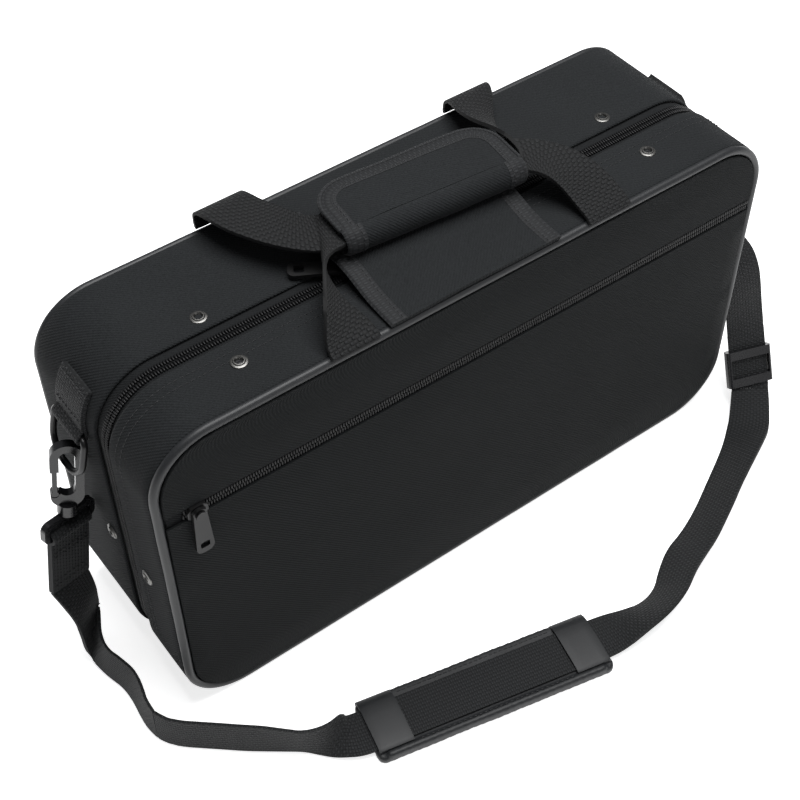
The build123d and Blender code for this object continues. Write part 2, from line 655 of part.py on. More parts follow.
for hand, side in (("left", -1), ("right", 1)):
    with BuildPart() as ring_tab:
        with BuildSketch(Plane(origin=(side * bar_x, ring_y, ring_bar_height), x_dir=(side, 0, 0),
                               z_dir=(0, -side, 0))) as tab_shape:
            Circle(ring_wire_radius + 0.1 + tab_webbing)
            with BuildLine() as strip_edge:
                corner = (side_x - corner_radius - bar_x,
                          case_height - corner_radius - ring_bar_height)
                under = CenterArc(corner, corner_radius + layer_gap / 2, 0, tab_wrap)
                over = CenterArc(corner, under.radius + 2 * tab_webbing, 0, tab_wrap)
                Line(under @ 1, over @ 1)
                Polyline(under @ 0, ((under @ 0).X, 0), ((over @ 0).X, 0), over @ 0)
            make_face(strip_edge.edges())
            Circle(ring_wire_radius + 0.1, mode=Mode.SUBTRACT)
        extrude(tab_shape.sketch, amount=tab_width / 2, both=True)
    export(ring_tab, f"{hand}_ring_tab")

    tilt = radians(ring_tilt[hand])
    hangs_in = Plane(origin=(side * bar_x, ring_y, ring_bar_height), x_dir=(0, 1, 0),
                     z_dir=(cos(tilt), 0, side * sin(tilt)))
    with BuildPart() as d_ring:
        with BuildLine(hangs_in) as ring_wire:
            FilletPolyline(
                (-ring_half_width, 0), (ring_half_width, 0), (ring_half_width, -ring_depth),
                (-ring_half_width, -ring_depth), close=True,
                radius=[ring_corner, ring_corner, ring_bow, ring_bow],
            )
        ring_path = ring_wire.wires()[0]
        with BuildSketch(Plane(origin=ring_path @ 0, z_dir=ring_path % 0)) as ring_section:
            RegularPolygon(ring_wire_radius, ring_wire_sides)
        sweep(ring_section.sketch, path=ring_path)
    export(d_ring, f"{hand}_d_ring")

    hook = swivel_frame(hand, side, hook_turn[hand])
    hook_flat = Plane(origin=hook.origin, x_dir=hook.x_dir, z_dir=-hook.y_dir)
    with BuildPart() as snap_hook:
        with BuildSketch(hook_flat) as hook_shape:
            with Locations((0, hook_top - hook_straight / 2)):
                SlotCenterToCenter(hook_straight, 2 * hook_outer_radius, rotation=90)
            with Locations((0, hook_top - hook_straight / 2 + 2)):
                SlotCenterToCenter(hook_straight - 4, 2 * hook_inner_radius, rotation=90,
                                   mode=Mode.SUBTRACT)
            with Locations((hook_outer_radius + 1, gate_pivot_height + 0.3)):
                Rectangle(hook_wire + 1.6, gate_slot - 0.3, align=(Align.MAX, Align.MIN),
                          mode=Mode.SUBTRACT)
            with Locations((gate_pivot_out, gate_pivot_height)):
                Circle(gate_knuckle + pull_pin_clearance, mode=Mode.SUBTRACT)
        extrude(hook_shape.sketch, amount=hook_thickness / 2, both=True)
        with Locations(hook.offset(collar_bottom)):
            Cylinder(collar_radius, collar_height + 1, align=(Align.CENTER, Align.CENTER, Align.MIN))
            Cylinder(post_radius + post_clearance, post_head_bottom - collar_bottom,
                     align=(Align.CENTER, Align.CENTER, Align.MIN), mode=Mode.SUBTRACT)
        with Locations(hook.offset(post_head_bottom)):
            Cylinder(post_head_radius + 0.1, post_head_height + 0.4,
                     align=(Align.CENTER, Align.CENTER, Align.MIN), mode=Mode.SUBTRACT)
    export(snap_hook, f"{hand}_snap_hook")

    with BuildPart() as hook_gate:
        with BuildSketch(hook_flat) as gate_shape:
            with Locations((gate_pivot_out, gate_pivot_height)):
                Circle(gate_knuckle)
                Rectangle(gate_thickness, gate_slot - gate_gap, align=(Align.CENTER, Align.MIN))
        extrude(gate_shape.sketch, amount=hook_thickness / 2 - 0.3, both=True)
    export(hook_gate, f"{hand}_hook_gate")

    eye = swivel_frame(hand, side, eye_turn[hand])
    with BuildPart() as swivel_eye:
        with BuildSketch(Plane(origin=eye.origin, x_dir=eye.x_dir, z_dir=-eye.y_dir)) as eye_shape:
            RectangleRounded(eye_width, 2 * eye_half_height, 4)
            RectangleRounded(eye_inner_width, eye_inner_height, 1.5, mode=Mode.SUBTRACT)
        extrude(eye_shape.sketch, amount=eye_wire / 2, both=True)
        with Locations(eye.offset(-eye_bar)):
            Cylinder(post_radius, post_head_bottom + 0.2 + eye_bar,
                     align=(Align.CENTER, Align.CENTER, Align.MIN))
        with Locations(eye.offset(post_head_bottom + 0.1)):
            Cylinder(post_head_radius, post_head_height,
                     align=(Align.CENTER, Align.CENTER, Align.MIN))
    export(swivel_eye, f"{hand}_swivel_eye")

    turn = radians(strap_end_turn[hand])
    bar_way = eye.x_dir * side
    rear_way = eye.z_dir.cross(bar_way)
    hangs_from_bar = Plane(origin=eye.offset(eye_bar).origin, z_dir=bar_way,
                           x_dir=rear_way * cos(turn) + eye.z_dir * sin(turn))
    strap_end_frames[hand] = hangs_from_bar
    with BuildPart() as strap_end:
        with BuildSketch(hangs_from_bar) as end_shape:
            Circle(loop_outer_radius)
            Rectangle(2 * strap_thickness + 0.1, strap_end_length,
                      align=(Align.CENTER, Align.MAX))
            Circle(loop_inner_radius, mode=Mode.SUBTRACT)
        extrude(end_shape.sketch, amount=strap_width / 2, both=True)
    export(strap_end, f"{hand}_strap_end")

# ---- shoulder strap, its pad and its adjuster -------------------------------------------------
strap_floor = strap_thickness / 2 + 0.1
pad_along = heading(pad_turn)
pad_middle = Vector(*pad_centre, 0)
pad_left = pad_middle - pad_along * (pad_length / 2 + pad_play)
pad_right = pad_middle + pad_along * (pad_length / 2 + pad_play)
strap_on_pad = pad_thickness + layer_gap + strap_thickness / 2
across_pad = 90 + pad_turn

split_gap = 0.3
left_split = Vector(-213.2, -60.2, 13.7)
left_split_way = Vector(2.2, -10, 0).normalized()
left_split_lie = (25, 88)
right_split = Vector(203.9, -75.0, 10.3)
right_split_way = Vector(7.5, 11.5, 10.5).normalized()
right_split_lie = (155, 13)


def strap_end_station(hand, past):
    """A station past the sewn end's tail, whose width lies along the eye's bar."""
    frame = strap_end_frames[hand]
    place = frame.origin - frame.y_dir * (strap_end_length + past)
    lie = frame.z_dir * (1 if hand == "left" else -1)
    return (*place, degrees(atan2(lie.Y, lie.X)), degrees(asin(lie.Z)))


def split_station(split, way, lie, gap):
    """A station at a split, moved along the strap by gap."""
    return (*(split + way * gap), *lie)


# Stations of the strap: x, y, z, and the heading and rise of its width. A rise of 90 stands on edge.
strap_left_route = (
    strap_end_station("left", split_gap),
    (-211.9, 10.1, 43.2, 37, -7), (-212.3, 8, 30, 43, 1), (-212.2, 8.8, 20, 40, 22),
    (-213.2, 5.4, 14.6, 27, 56), (-215.4, -3.4, 14.2, 15, 76), (-215.3, -13, 14.1, 5, 84),
    (-212.2, -23.1, 13.9, 0, 84), (-211, -33.5, 13.8, -5, 79.5), (-212.6, -44, 13.7, 0, 80.6),
    (-214.1, -53, 13.7, 8, 85),
    split_station(left_split, left_split_way, left_split_lie, -split_gap / 2),
)
strap_front_route = (
    split_station(left_split, left_split_way, left_split_lie, split_gap / 2),
    (-211, -66, 13.7, 38, 89), (-205.4, -72.7, 13.7, 45, 90), (-197.6, -79.5, 13.8, 45, 90),
    (-189.4, -86.5, 13.8, 45, 90), (-181.4, -93.6, 13.9, 45, 90), (-173, -100.4, 14, 46, 91),
    (-165, -107.5, 14.1, 50, 94.5), (-157, -114.3, 14, 75, 98), (-148.2, -119, 13.3, -3, 76),
    (-139.5, -120.6, 11.2, 43.6, 50),
    (pad_left.X, pad_left.Y, strap_on_pad, across_pad, 0),
    (pad_right.X, pad_right.Y, strap_on_pad, across_pad, 0),
    (31.3, -158.1, 7.5, 83.5, -25), (45.8, -159.5, 9.2, 94.2, -38), (60.1, -156.2, 9.9, 106, -42),
    (72.7, -148.2, 9.7, 113, -36.4), (85.8, -142, 9.3, 112.6, -27.5), (98.7, -138, 8.6, 112.7, -31.5),
    (111.2, -132.7, 8.9, 113.7, -36), (123.5, -126.9, 9, 115.2, -37.2),
    (135.6, -120.5, 9.1, 116.5, -37.4), (147.9, -114.4, 8.8, 117.9, -35.3),
    (160.1, -108.3, 8.1, 120.3, -32.3), (172, -102, 6.8, 124.3, -26.2), (183.1, -95.1, 4.1, 130, -11.6),
    (193, -87.2, 4, 140, 6),
    split_station(right_split, right_split_way, right_split_lie, -split_gap / 2),
)
adjuster_lie = (163, 3.2)
adjuster_run = ((205.2, -73.3, 11.8, *adjuster_lie), (211.8, -56, 41, *adjuster_lie))
strap_right_route = (
    split_station(right_split, right_split_way, right_split_lie, split_gap / 2),
    *adjuster_run, (211.4, -53.2, 51, 168, -2), (210.4, -51, 62, 171, -5),
    (209.2, -48.5, 74.4, 171, -6), (208.4, -44.6, 86.6, 171, -6), (207.8, -37, 96.6, 174, -4),
    strap_end_station("right", split_gap),
)
left_end_way = -strap_end_frames["left"].y_dir
right_end_way = strap_end_frames["right"].y_dir
for name, route, first_way, last_way in (
    ("strap_left_run", strap_left_route, left_end_way, left_split_way),
    ("strap_front_run", strap_front_route, left_split_way, right_split_way),
    ("strap_right_run", strap_right_route, right_split_way, right_end_way),
):
    with BuildPart() as strap_run:
        ribbon(route, strap_width, strap_thickness, first_way, last_way)
    export(strap_run, name)

pad_plane = Plane(origin=pad_middle, x_dir=pad_along, z_dir=(0, 0, 1))
with BuildPart() as shoulder_pad:
    with BuildSketch(pad_plane):
        RectangleRounded(pad_length, pad_width, 4)
    extrude(amount=pad_thickness)
    with BuildSketch(pad_plane):
        with Locations((0, -pad_width / 2)):
            Rectangle(pad_length - 10, 3, align=(Align.CENTER, Align.MIN))
    extrude(amount=pad_thickness + pad_lip)
export(shoulder_pad, "shoulder_pad")

keeper_inside = strap_width + 1.2
keeper_height = strap_thickness + 3 * layer_gap
with BuildPart() as pad_keepers:
    for end in (-1, 1):
        middle = pad_middle + pad_along * (end * (pad_length / 2 - keeper_width / 2 - 4))
        with BuildSketch(Plane(origin=middle + Vector(0, 0, pad_thickness), x_dir=pad_along,
                               z_dir=(0, 0, 1))):
            Rectangle(keeper_width, keeper_inside + 2 * keeper_thickness)
        extrude(amount=keeper_height + keeper_thickness)
        with BuildSketch(Plane(origin=middle + Vector(0, 0, pad_thickness), x_dir=pad_along,
                               z_dir=(0, 0, 1))):
            Rectangle(keeper_width, keeper_inside)
        extrude(amount=keeper_height, mode=Mode.SUBTRACT)
export(pad_keepers, "pad_keepers")

adjuster_width = strap_width + 5.4
adjuster_height = 23.0
adjuster_depth = 6.4
adjuster_slot = strap_thickness + 1.0
adjuster_window = 12.0
run_bottom, run_top = (Vector(*end[:3]) for end in adjuster_run)
run_way = (run_top - run_bottom).normalized()
adjuster_middle = run_bottom + run_way * (adjuster_height / 2 + 0.8)
across_adjuster = heading(*adjuster_lie)
adjuster_travel = (run_top - adjuster_middle).length - adjuster_height / 2
with BuildPart() as strap_adjuster:
    with BuildSketch(Plane(origin=adjuster_middle, x_dir=across_adjuster, z_dir=run_way)):
        RectangleRounded(adjuster_width, adjuster_depth, 2)
        Rectangle(strap_width + 1.0, adjuster_slot, mode=Mode.SUBTRACT)
    extrude(amount=adjuster_height / 2, both=True)
    with Locations(Plane(origin=adjuster_middle, x_dir=across_adjuster, z_dir=run_way)):
        with Locations((0, adjuster_depth / 2, 0), (0, -adjuster_depth / 2, 0)):
            Box(strap_width + 1.0, adjuster_depth - adjuster_slot, adjuster_window,
                mode=Mode.SUBTRACT)
export(strap_adjuster, "strap_adjuster")
print(f"adjuster travel {adjuster_travel:.1f} mm along {run_way}")
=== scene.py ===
# %% [markdown]
# # A soft clarinet case, dressed over its solids
# The solids give every piece its size and place. Here each soft one gets the form and finish of real cloth,
# vinyl or webbing, and each hard one gets a finish of its own.

# %% Load the frame
from math import asin, atan2, cos, pi, radians, sin, sqrt, tau

import bmesh
import bpy
from mathutils import Matrix, Vector, noise


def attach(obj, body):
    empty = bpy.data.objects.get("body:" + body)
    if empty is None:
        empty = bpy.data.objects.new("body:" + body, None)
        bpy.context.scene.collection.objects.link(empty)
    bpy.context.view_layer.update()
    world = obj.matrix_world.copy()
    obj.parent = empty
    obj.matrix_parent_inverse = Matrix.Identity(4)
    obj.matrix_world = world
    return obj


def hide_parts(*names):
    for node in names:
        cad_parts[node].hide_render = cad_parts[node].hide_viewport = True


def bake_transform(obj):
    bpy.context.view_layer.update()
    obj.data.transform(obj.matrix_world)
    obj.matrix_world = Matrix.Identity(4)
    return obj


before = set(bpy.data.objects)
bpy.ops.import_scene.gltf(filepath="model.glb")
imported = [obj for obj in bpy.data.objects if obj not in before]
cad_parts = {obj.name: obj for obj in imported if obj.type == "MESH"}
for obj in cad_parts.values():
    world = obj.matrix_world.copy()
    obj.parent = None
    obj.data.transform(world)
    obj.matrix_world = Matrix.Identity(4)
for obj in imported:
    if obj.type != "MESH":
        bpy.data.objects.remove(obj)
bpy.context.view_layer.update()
MM = 0.001

# %% [markdown]
# ## Camera
# A product view like this one is taken from above and to the left with a moderate lens, so the case's edges
# converge a little. The lens is set from its focal length in pixels, because that is what a measured
# perspective gives. The camera's own axes are worked out from its heading, pitch and roll.

# %% Camera
VIEW_FROM = Vector((-334.309, -444.203, 695.429)) * MM
TURNED, TIPPED, ROLLED = 0.628, 0.845, -0.009
FOCAL_PIXELS, FRAME_PIXELS = 1474.39, 800

forward = Vector((sin(TURNED) * cos(TIPPED), cos(TURNED) * cos(TIPPED), -sin(TIPPED)))
level_right = forward.cross(Vector((0, 0, 1))).normalized()
level_up = level_right.cross(forward)
camera_right = level_right * cos(ROLLED) + level_up * sin(ROLLED)
camera_up = level_up * cos(ROLLED) - level_right * sin(ROLLED)

camera = bpy.data.objects.new("camera", bpy.data.cameras.new("camera"))
camera.data.sensor_width = 36
camera.data.lens = FOCAL_PIXELS * camera.data.sensor_width / FRAME_PIXELS
camera.data.clip_start, camera.data.clip_end = 0.01, 20
turn = Matrix((camera_right, camera_up, -forward)).transposed().to_4x4()
camera.matrix_world = Matrix.Translation(VIEW_FROM) @ turn
bpy.context.collection.objects.link(camera)
bpy.context.scene.camera = camera
print(f"camera with a {camera.data.lens:.1f} mm lens")

# %% [markdown]
# ## Shader maths
# Cloth is made of repeating threads, so its finish is arithmetic on the surface coordinates: the ribs of a
# webbing are a sine along it, and its columns are a sine across it. Math nodes could be wired by hand, but a
# small class that wraps a node's output lets the same arithmetic be written with + and *.


# %% Arithmetic on a surface
class Term:
    """A number that varies over a surface, held as the output of a shader node."""

    def __init__(self, look, socket):
        self.look, self.socket = look, socket

    def math(self, operation, *others):
        """One Math node on this number and the others."""
        return self.look.node("Math", operation=operation, inputs=(self, *others))

    def __add__(self, other):
        return self.math("ADD", other)

    def __sub__(self, other):
        return self.math("SUBTRACT", other)

    def __mul__(self, other):
        return self.math("MULTIPLY", other)

    def __truediv__(self, other):
        return self.math("DIVIDE", other)

    def wave(self, pitch):
        """A smooth ripple from -1 to 1 that repeats every pitch."""
        return (self * (tau / pitch)).math("SINE")

    def step(self, low, high):
        """0 below low, 1 above high, smooth between."""
        return self.look.node("MapRange", interpolation_type="SMOOTHSTEP", inputs=(self, low, high, 0, 1))


print("arithmetic terms are", Term.__name__)

# %% [markdown]
# ## One material
# Every finish of the case is a Principled BSDF whose colour, roughness and relief vary a little. A second
# class keeps one material and the nodes that feed it, so that each finish below is a few lines. Its last three
# methods set what a finish may vary.


# %% A material and its nodes
class Look:
    """A material built from Principled BSDF and arithmetic on its surface coordinates."""

    def __init__(self, name, color, roughness, **settings):
        self.material = bpy.data.materials.new(name)
        self.material.use_nodes = True
        self.tree = self.material.node_tree
        self.shader = self.tree.nodes["Principled BSDF"]
        self.shader.inputs["Base Color"].default_value = (*color, 1)
        self.shader.inputs["Roughness"].default_value = roughness
        for socket, value in settings.items():
            self.shader.inputs[socket.replace("_", " ")].default_value = value
        self.place = self.tree.nodes.new("ShaderNodeTexCoord")

    def node(self, kind, inputs=(), output=0, **settings):
        """A node of any kind: its settings first, then values or links for its sockets in order."""
        node = self.tree.nodes.new("ShaderNode" + kind)
        for name, value in settings.items():
            setattr(node, name, value)
        for socket, value in zip(node.inputs, inputs):
            if isinstance(value, Term):
                self.tree.links.new(value.socket, socket)
            elif value is not None:
                socket.default_value = value
        return Term(self, node.outputs[output])

    def along(self):
        """The surface coordinates, in metres: along the piece, across it, and nothing."""
        split = self.node("SeparateXYZ", inputs=(Term(self, self.place.outputs["UV"]),))
        return [Term(self, output) for output in split.socket.node.outputs]

    def noise(self, size, detail):
        """Smooth noise from 0 to 1 whose blotches are about size metres across."""
        place = Term(self, self.place.outputs["Object"])
        return self.node("TexNoise", inputs=(place, None, 1 / size, detail))

    def shade(self, factor, dark, light):
        """Base colour that runs from dark to light with factor."""
        mixed = self.node("Mix", data_type="RGBA", output=2)
        mix = mixed.socket.node
        self.tree.links.new(factor.socket, mix.inputs[0])
        mix.inputs[6].default_value = (*dark, 1)
        mix.inputs[7].default_value = (*light, 1)
        self.tree.links.new(mixed.socket, self.shader.inputs["Base Color"])

    def rough(self, term):
        """Roughness that varies as term does."""
        self.tree.links.new(term.socket, self.shader.inputs["Roughness"])

    def bump(self, height, depth):
        """Relief: height is 0 to 1 and depth is its size in metres."""
        bump = self.node("Bump")
        node = bump.socket.node
        node.inputs["Strength"].default_value = 1
        node.inputs["Distance"].default_value = depth
        self.tree.links.new(height.socket, node.inputs["Height"])
        self.tree.links.new(bump.socket, self.shader.inputs["Normal"])


print("materials are built by", Look.__name__)

# %% [markdown]
# ## The room
# Black goods are shown in a pale room, whose light fills the shadows softly. The world's shader gives the
# cloth that faint fill, and gives the camera pure white, with a mix that asks Light Path what the ray is for.

# %% Room
world = bpy.data.worlds.new("room")
bpy.context.scene.world = world
world.use_nodes = True
tree = world.node_tree
tree.nodes.clear()
room = tree.nodes.new("ShaderNodeBackground")
room.inputs["Color"].default_value = (0.95, 0.97, 1.0, 1)
room.inputs["Strength"].default_value = 0.18
backdrop = tree.nodes.new("ShaderNodeBackground")
backdrop.inputs["Color"].default_value = (1, 1, 1, 1)
backdrop.inputs["Strength"].default_value = 1.0
ray = tree.nodes.new("ShaderNodeLightPath")
choose = tree.nodes.new("ShaderNodeMixShader")
output = tree.nodes.new("ShaderNodeOutputWorld")
tree.links.new(ray.outputs["Is Camera Ray"], choose.inputs["Fac"])
tree.links.new(room.outputs[0], choose.inputs[1])
tree.links.new(backdrop.outputs[0], choose.inputs[2])
tree.links.new(choose.outputs[0], output.inputs["Surface"])
print("the room fills at", room.inputs["Strength"].default_value)

# %% [markdown]
# ## Soft boxes
# A large area lamp overhead gives the long highlights of vinyl and the soft shadow under a handle. A point
# lamp would make them hard. A second, weaker one lifts the front face. Each lamp is turned to face its aim.


# %% Lamps
def soft_box(name, place, aim, size, watts):
    """A square area lamp at place that faces aim."""
    lamp = bpy.data.objects.new(name, bpy.data.lights.new(name, "AREA"))
    lamp.data.shape, lamp.data.size, lamp.data.energy = "SQUARE", size, watts
    facing = (aim - place).to_track_quat("-Z", "Y").to_matrix().to_4x4()
    lamp.matrix_world = Matrix.Translation(place) @ facing
    bpy.context.collection.objects.link(lamp)


soft_box("top_light", Vector((0.2, 0.0, 1.5)), Vector((0, 0, 0.1)), 1.0, 25)
soft_box("front_light", Vector((0.5, -1.6, 0.8)), Vector((0, 0, 0.1)), 0.9, 3)
print("two soft boxes")

# %% [markdown]
# ## The floor
# The case stands on white paper. The paper is white to the camera and in reflections, but it is a darker
# material to all other rays, so it throws less light back up at the case. Its upright sides then stay as dark
# as black cloth is, and the contact shadow still shows.

# %% Floor and view
floor_mesh = bpy.data.meshes.new("floor")
floor_mesh.from_pydata([(-4, -4, 0), (4, -4, 0), (4, 4, 0), (-4, 4, 0)], [], [(0, 1, 2, 3)])
floor = bpy.data.objects.new("floor", floor_mesh)
bpy.context.collection.objects.link(floor)
paper = Look("paper", (0.42, 0.42, 0.42), 0.9)
bright = paper.node("BsdfPrincipled")
bright_paper = (("Base Color", (1, 1, 1, 1)), ("Roughness", 0.9), ("Emission Color", (1, 1, 1, 1)),
                ("Emission Strength", 0.75))
for socket, value in bright_paper:
    bright.socket.node.inputs[socket].default_value = value
seen = paper.node("LightPath", output="Is Camera Ray")
mirrored = paper.node("LightPath", output="Is Glossy Ray")
dim = Term(paper, paper.shader.outputs[0])
blend = paper.node("MixShader", inputs=(seen.math("MAXIMUM", mirrored), dim, bright))
paper.tree.links.new(blend.socket, paper.tree.nodes["Material Output"].inputs["Surface"])
floor_mesh.materials.append(paper.material)
bpy.context.scene.view_settings.view_transform = "Standard"
print("a white floor under", bpy.context.scene.view_settings.view_transform, "view")

# %% [markdown]
# ## Cloth finishes
# The case is black polyester cloth. Its fine weave catches the light as a faint grain, a little lighter in
# wide patches. An image of cloth would repeat and blur up close, so the weave is arithmetic instead. It takes
# the surface coordinates in metres, so one pitch holds on every piece.

# %% Cloth finishes
BLACK = (0.0060, 0.0068, 0.0075)
GREY = (0.0260, 0.0285, 0.0305)


def cloth(name, dark, light, thread=0.0014, grain=0.9, roughness=0.85, sheen=0.04):
    """Twill cloth: faint slanting ribs broken up by the threads' own grain, and a soft sheen."""
    look = Look(name, dark, roughness, Sheen_Weight=sheen, Sheen_Roughness=0.5, Specular_IOR_Level=0.18)
    along, across, _ = look.along()
    slant = (along * 0.71 + across * 0.71).wave(thread) * 0.5 + 0.5
    cross = across.wave(thread * 0.7) * 0.5 + 0.5
    mottle = look.noise(0.0010, 3)
    wide = look.noise(0.05, 2)
    look.shade((slant * 0.08 + cross * 0.05 + mottle - 0.26) * grain + wide * 0.25, dark, light)
    look.bump(slant * 0.6 + cross * 0.25 + mottle * 0.5 + wide * 0.3, 0.00025)
    return look


case_cloth = cloth("case_cloth", BLACK, GREY)
panel_cloth = cloth("panel_cloth", (0.0045, 0.0052, 0.0056), (0.0190, 0.0215, 0.0225), grain=0.7)
lining = cloth("lining", (0.006, 0.006, 0.008), (0.028, 0.028, 0.034), roughness=0.95, sheen=0.5)
tape_cloth = cloth("tape_cloth", (0.004, 0.0045, 0.005), (0.017, 0.0185, 0.020), thread=0.0012)
print("cloth finishes:", case_cloth.material.name, panel_cloth.material.name, tape_cloth.material.name)

# %% [markdown]
# ## Webbing finishes
# Webbing is woven much coarser than cloth, so its threads are real relief. The product of a sine along it and
# a sine across it is a chequer of bumps and dips. Its colour paints highlight on the bumps and shade in the
# dips.


# %% Webbing
def webbing(name, rib, column, dark, light, depth):
    """Basket-woven webbing: each thread pillows over one column and dives under the next, in painted highlight
    and shade.
    """
    look = Look(name, dark, 0.7, Sheen_Weight=0.04, Sheen_Roughness=0.5, Specular_IOR_Level=0.3)
    along, across, _ = look.along()
    over = (across / column * pi).math("SINE") * (along / rib * pi).math("SINE")
    pillow = over.math("ABSOLUTE").math("POWER", 0.6)
    # The same chequer sets the colour below: painted highlight on the thread tops, painted shade in the dips
    # and where threads dive under.
    weave_relief_and_shade = pillow * (over.step(-0.35, 0.35) * 0.65 + 0.35)
    fuzz = look.noise(0.0008, 3)
    look.shade(weave_relief_and_shade * 0.75 + fuzz * 0.45 - 0.22, dark, light)
    look.bump(weave_relief_and_shade * 0.9 + fuzz * 0.1, depth)
    return look


handle_weave = webbing(
    "handle_weave", 0.0018, 0.0022, (0.0028, 0.0030, 0.0033), (0.0200, 0.0212, 0.0228), 0.0010)
strap_weave = webbing(
    "strap_weave", 0.0013, 0.0020, (0.0050, 0.0055, 0.0060), (0.0320, 0.0340, 0.0365), 0.0006)
print("webbing finishes:", handle_weave.material.name, strap_weave.material.name)

# %% [markdown]
# ## Plastic, metal and vinyl finishes
# The trim differs mostly in how it shines. One recipe makes them all: two sizes of noise shift the colour, the
# roughness and the surface by a little, because a perfectly even plastic looks like a drawing of one.


# %% Moulded finishes
def moulded(name, dark, light, roughness, grain, depth, **settings):
    """Plastic, vinyl or coated metal: one colour with faint flow marks and a fine grain."""
    look = Look(name, dark, roughness, **settings)
    fine = look.noise(grain, 4)
    wide = look.noise(grain * 25, 2)
    look.shade(fine * 0.5 + wide * 0.4, dark, light)
    look.rough(wide * 0.12 + fine * 0.08 + (roughness - 0.1))
    look.bump(fine * 0.6 + wide * 0.4, depth)
    return look


hardware = moulded("moulded_black", (0.006, 0.006, 0.007), (0.016, 0.016, 0.018), 0.26, 0.0012, 0.00003)
wire_black = moulded("wire_black", (0.006, 0.006, 0.006), (0.02, 0.02, 0.021), 0.34, 0.001, 0.00003,
                     Metallic=0.35)
coil_nylon = moulded("coil_nylon", (0.004, 0.004, 0.0045), (0.009, 0.009, 0.010), 0.5, 0.001, 0.00002,
                     Specular_IOR_Level=0.35)
zipper_black = moulded("zipper_black", (0.012, 0.012, 0.012), (0.035, 0.035, 0.036), 0.38, 0.0008, 0.00003,
                       Metallic=0.5)
rivet_steel = moulded("rivet_steel", (0.10, 0.10, 0.095), (0.26, 0.255, 0.245), 0.36, 0.0009, 0.00004,
                      Metallic=1.0)
piping_vinyl = moulded("piping_vinyl", (0.014, 0.015, 0.0165), (0.030, 0.0315, 0.034), 0.45, 0.0015, 0.00006,
                       Specular_IOR_Level=0.4)
pad_vinyl = moulded("pad_vinyl", (0.011, 0.0118, 0.013), (0.024, 0.0255, 0.0275), 0.50, 0.0011, 0.00008,
                    Specular_IOR_Level=0.35)
board = moulded("board", (0.20, 0.13, 0.07), (0.34, 0.23, 0.13), 0.75, 0.0015, 0.0001)
thread_black = moulded("thread_black", (0.008, 0.008, 0.009), (0.030, 0.031, 0.033), 0.65, 0.0006, 0.00003)
print("hard finishes:", hardware.material.name, rivet_steel.material.name, piping_vinyl.material.name)

# %% [markdown]
# ## From bmesh to piece
# Pieces are drawn in millimetres, as the case was measured, and become metres at the end. Each one keeps its
# object at the origin and rides on one of the bodies that move.


# %% Finish a mesh
def finish_mesh(name, mesh, look, body, sharp=40):
    """Turn a bmesh drawn in millimetres into an object that rides on a body."""
    bmesh.ops.recalc_face_normals(mesh, faces=mesh.faces)
    bmesh.ops.scale(mesh, vec=(MM, MM, MM), verts=mesh.verts)
    data = bpy.data.meshes.new(name)
    mesh.to_mesh(data)
    mesh.free()
    data.materials.append(look.material)
    data.shade_smooth()
    data.set_sharp_from_angle(angle=radians(sharp))
    piece = bpy.data.objects.new(name, data)
    bpy.context.collection.objects.link(piece)
    if body:
        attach(piece, body)
    return piece


print("drawn at", MM, "m to the unit")

# %% [markdown]
# ## Sheets with thickness
# Most of this case is sheet goods: cloth over board, webbing, zipper tape. A sheet could be a plane with a
# Solidify modifier, but its weave has to follow it round every bend. So one helper turns a grid of points on
# the outer face into a closed sheet, lays UVs in metres measured along the sheet itself, and rounds the cut
# edges so that they catch light.


# %% Sheets from a grid of points
def lengths(points, loop=False):
    """How far along the line of points each one is."""
    run = [0.0]
    for a, b in zip(points, points[1:] + (points[:1] if loop else [])):
        run.append(run[-1] + (b - a).length)
    return run


def normals_of(rows, loop):
    """The outward direction at each point of a grid: its row's direction crossed with its column's."""
    tall, wide = len(rows), len(rows[0])
    found = []
    for i, row in enumerate(rows):
        line = []
        for j in range(wide):
            ahead = row[(j + 1) % wide] if loop else row[min(j + 1, wide - 1)]
            behind = row[j - 1] if loop or j else row[0]
            up = rows[min(i + 1, tall - 1)][j] - rows[max(i - 1, 0)][j]
            line.append((ahead - behind).cross(up).normalized())
        found.append(line)
    return found


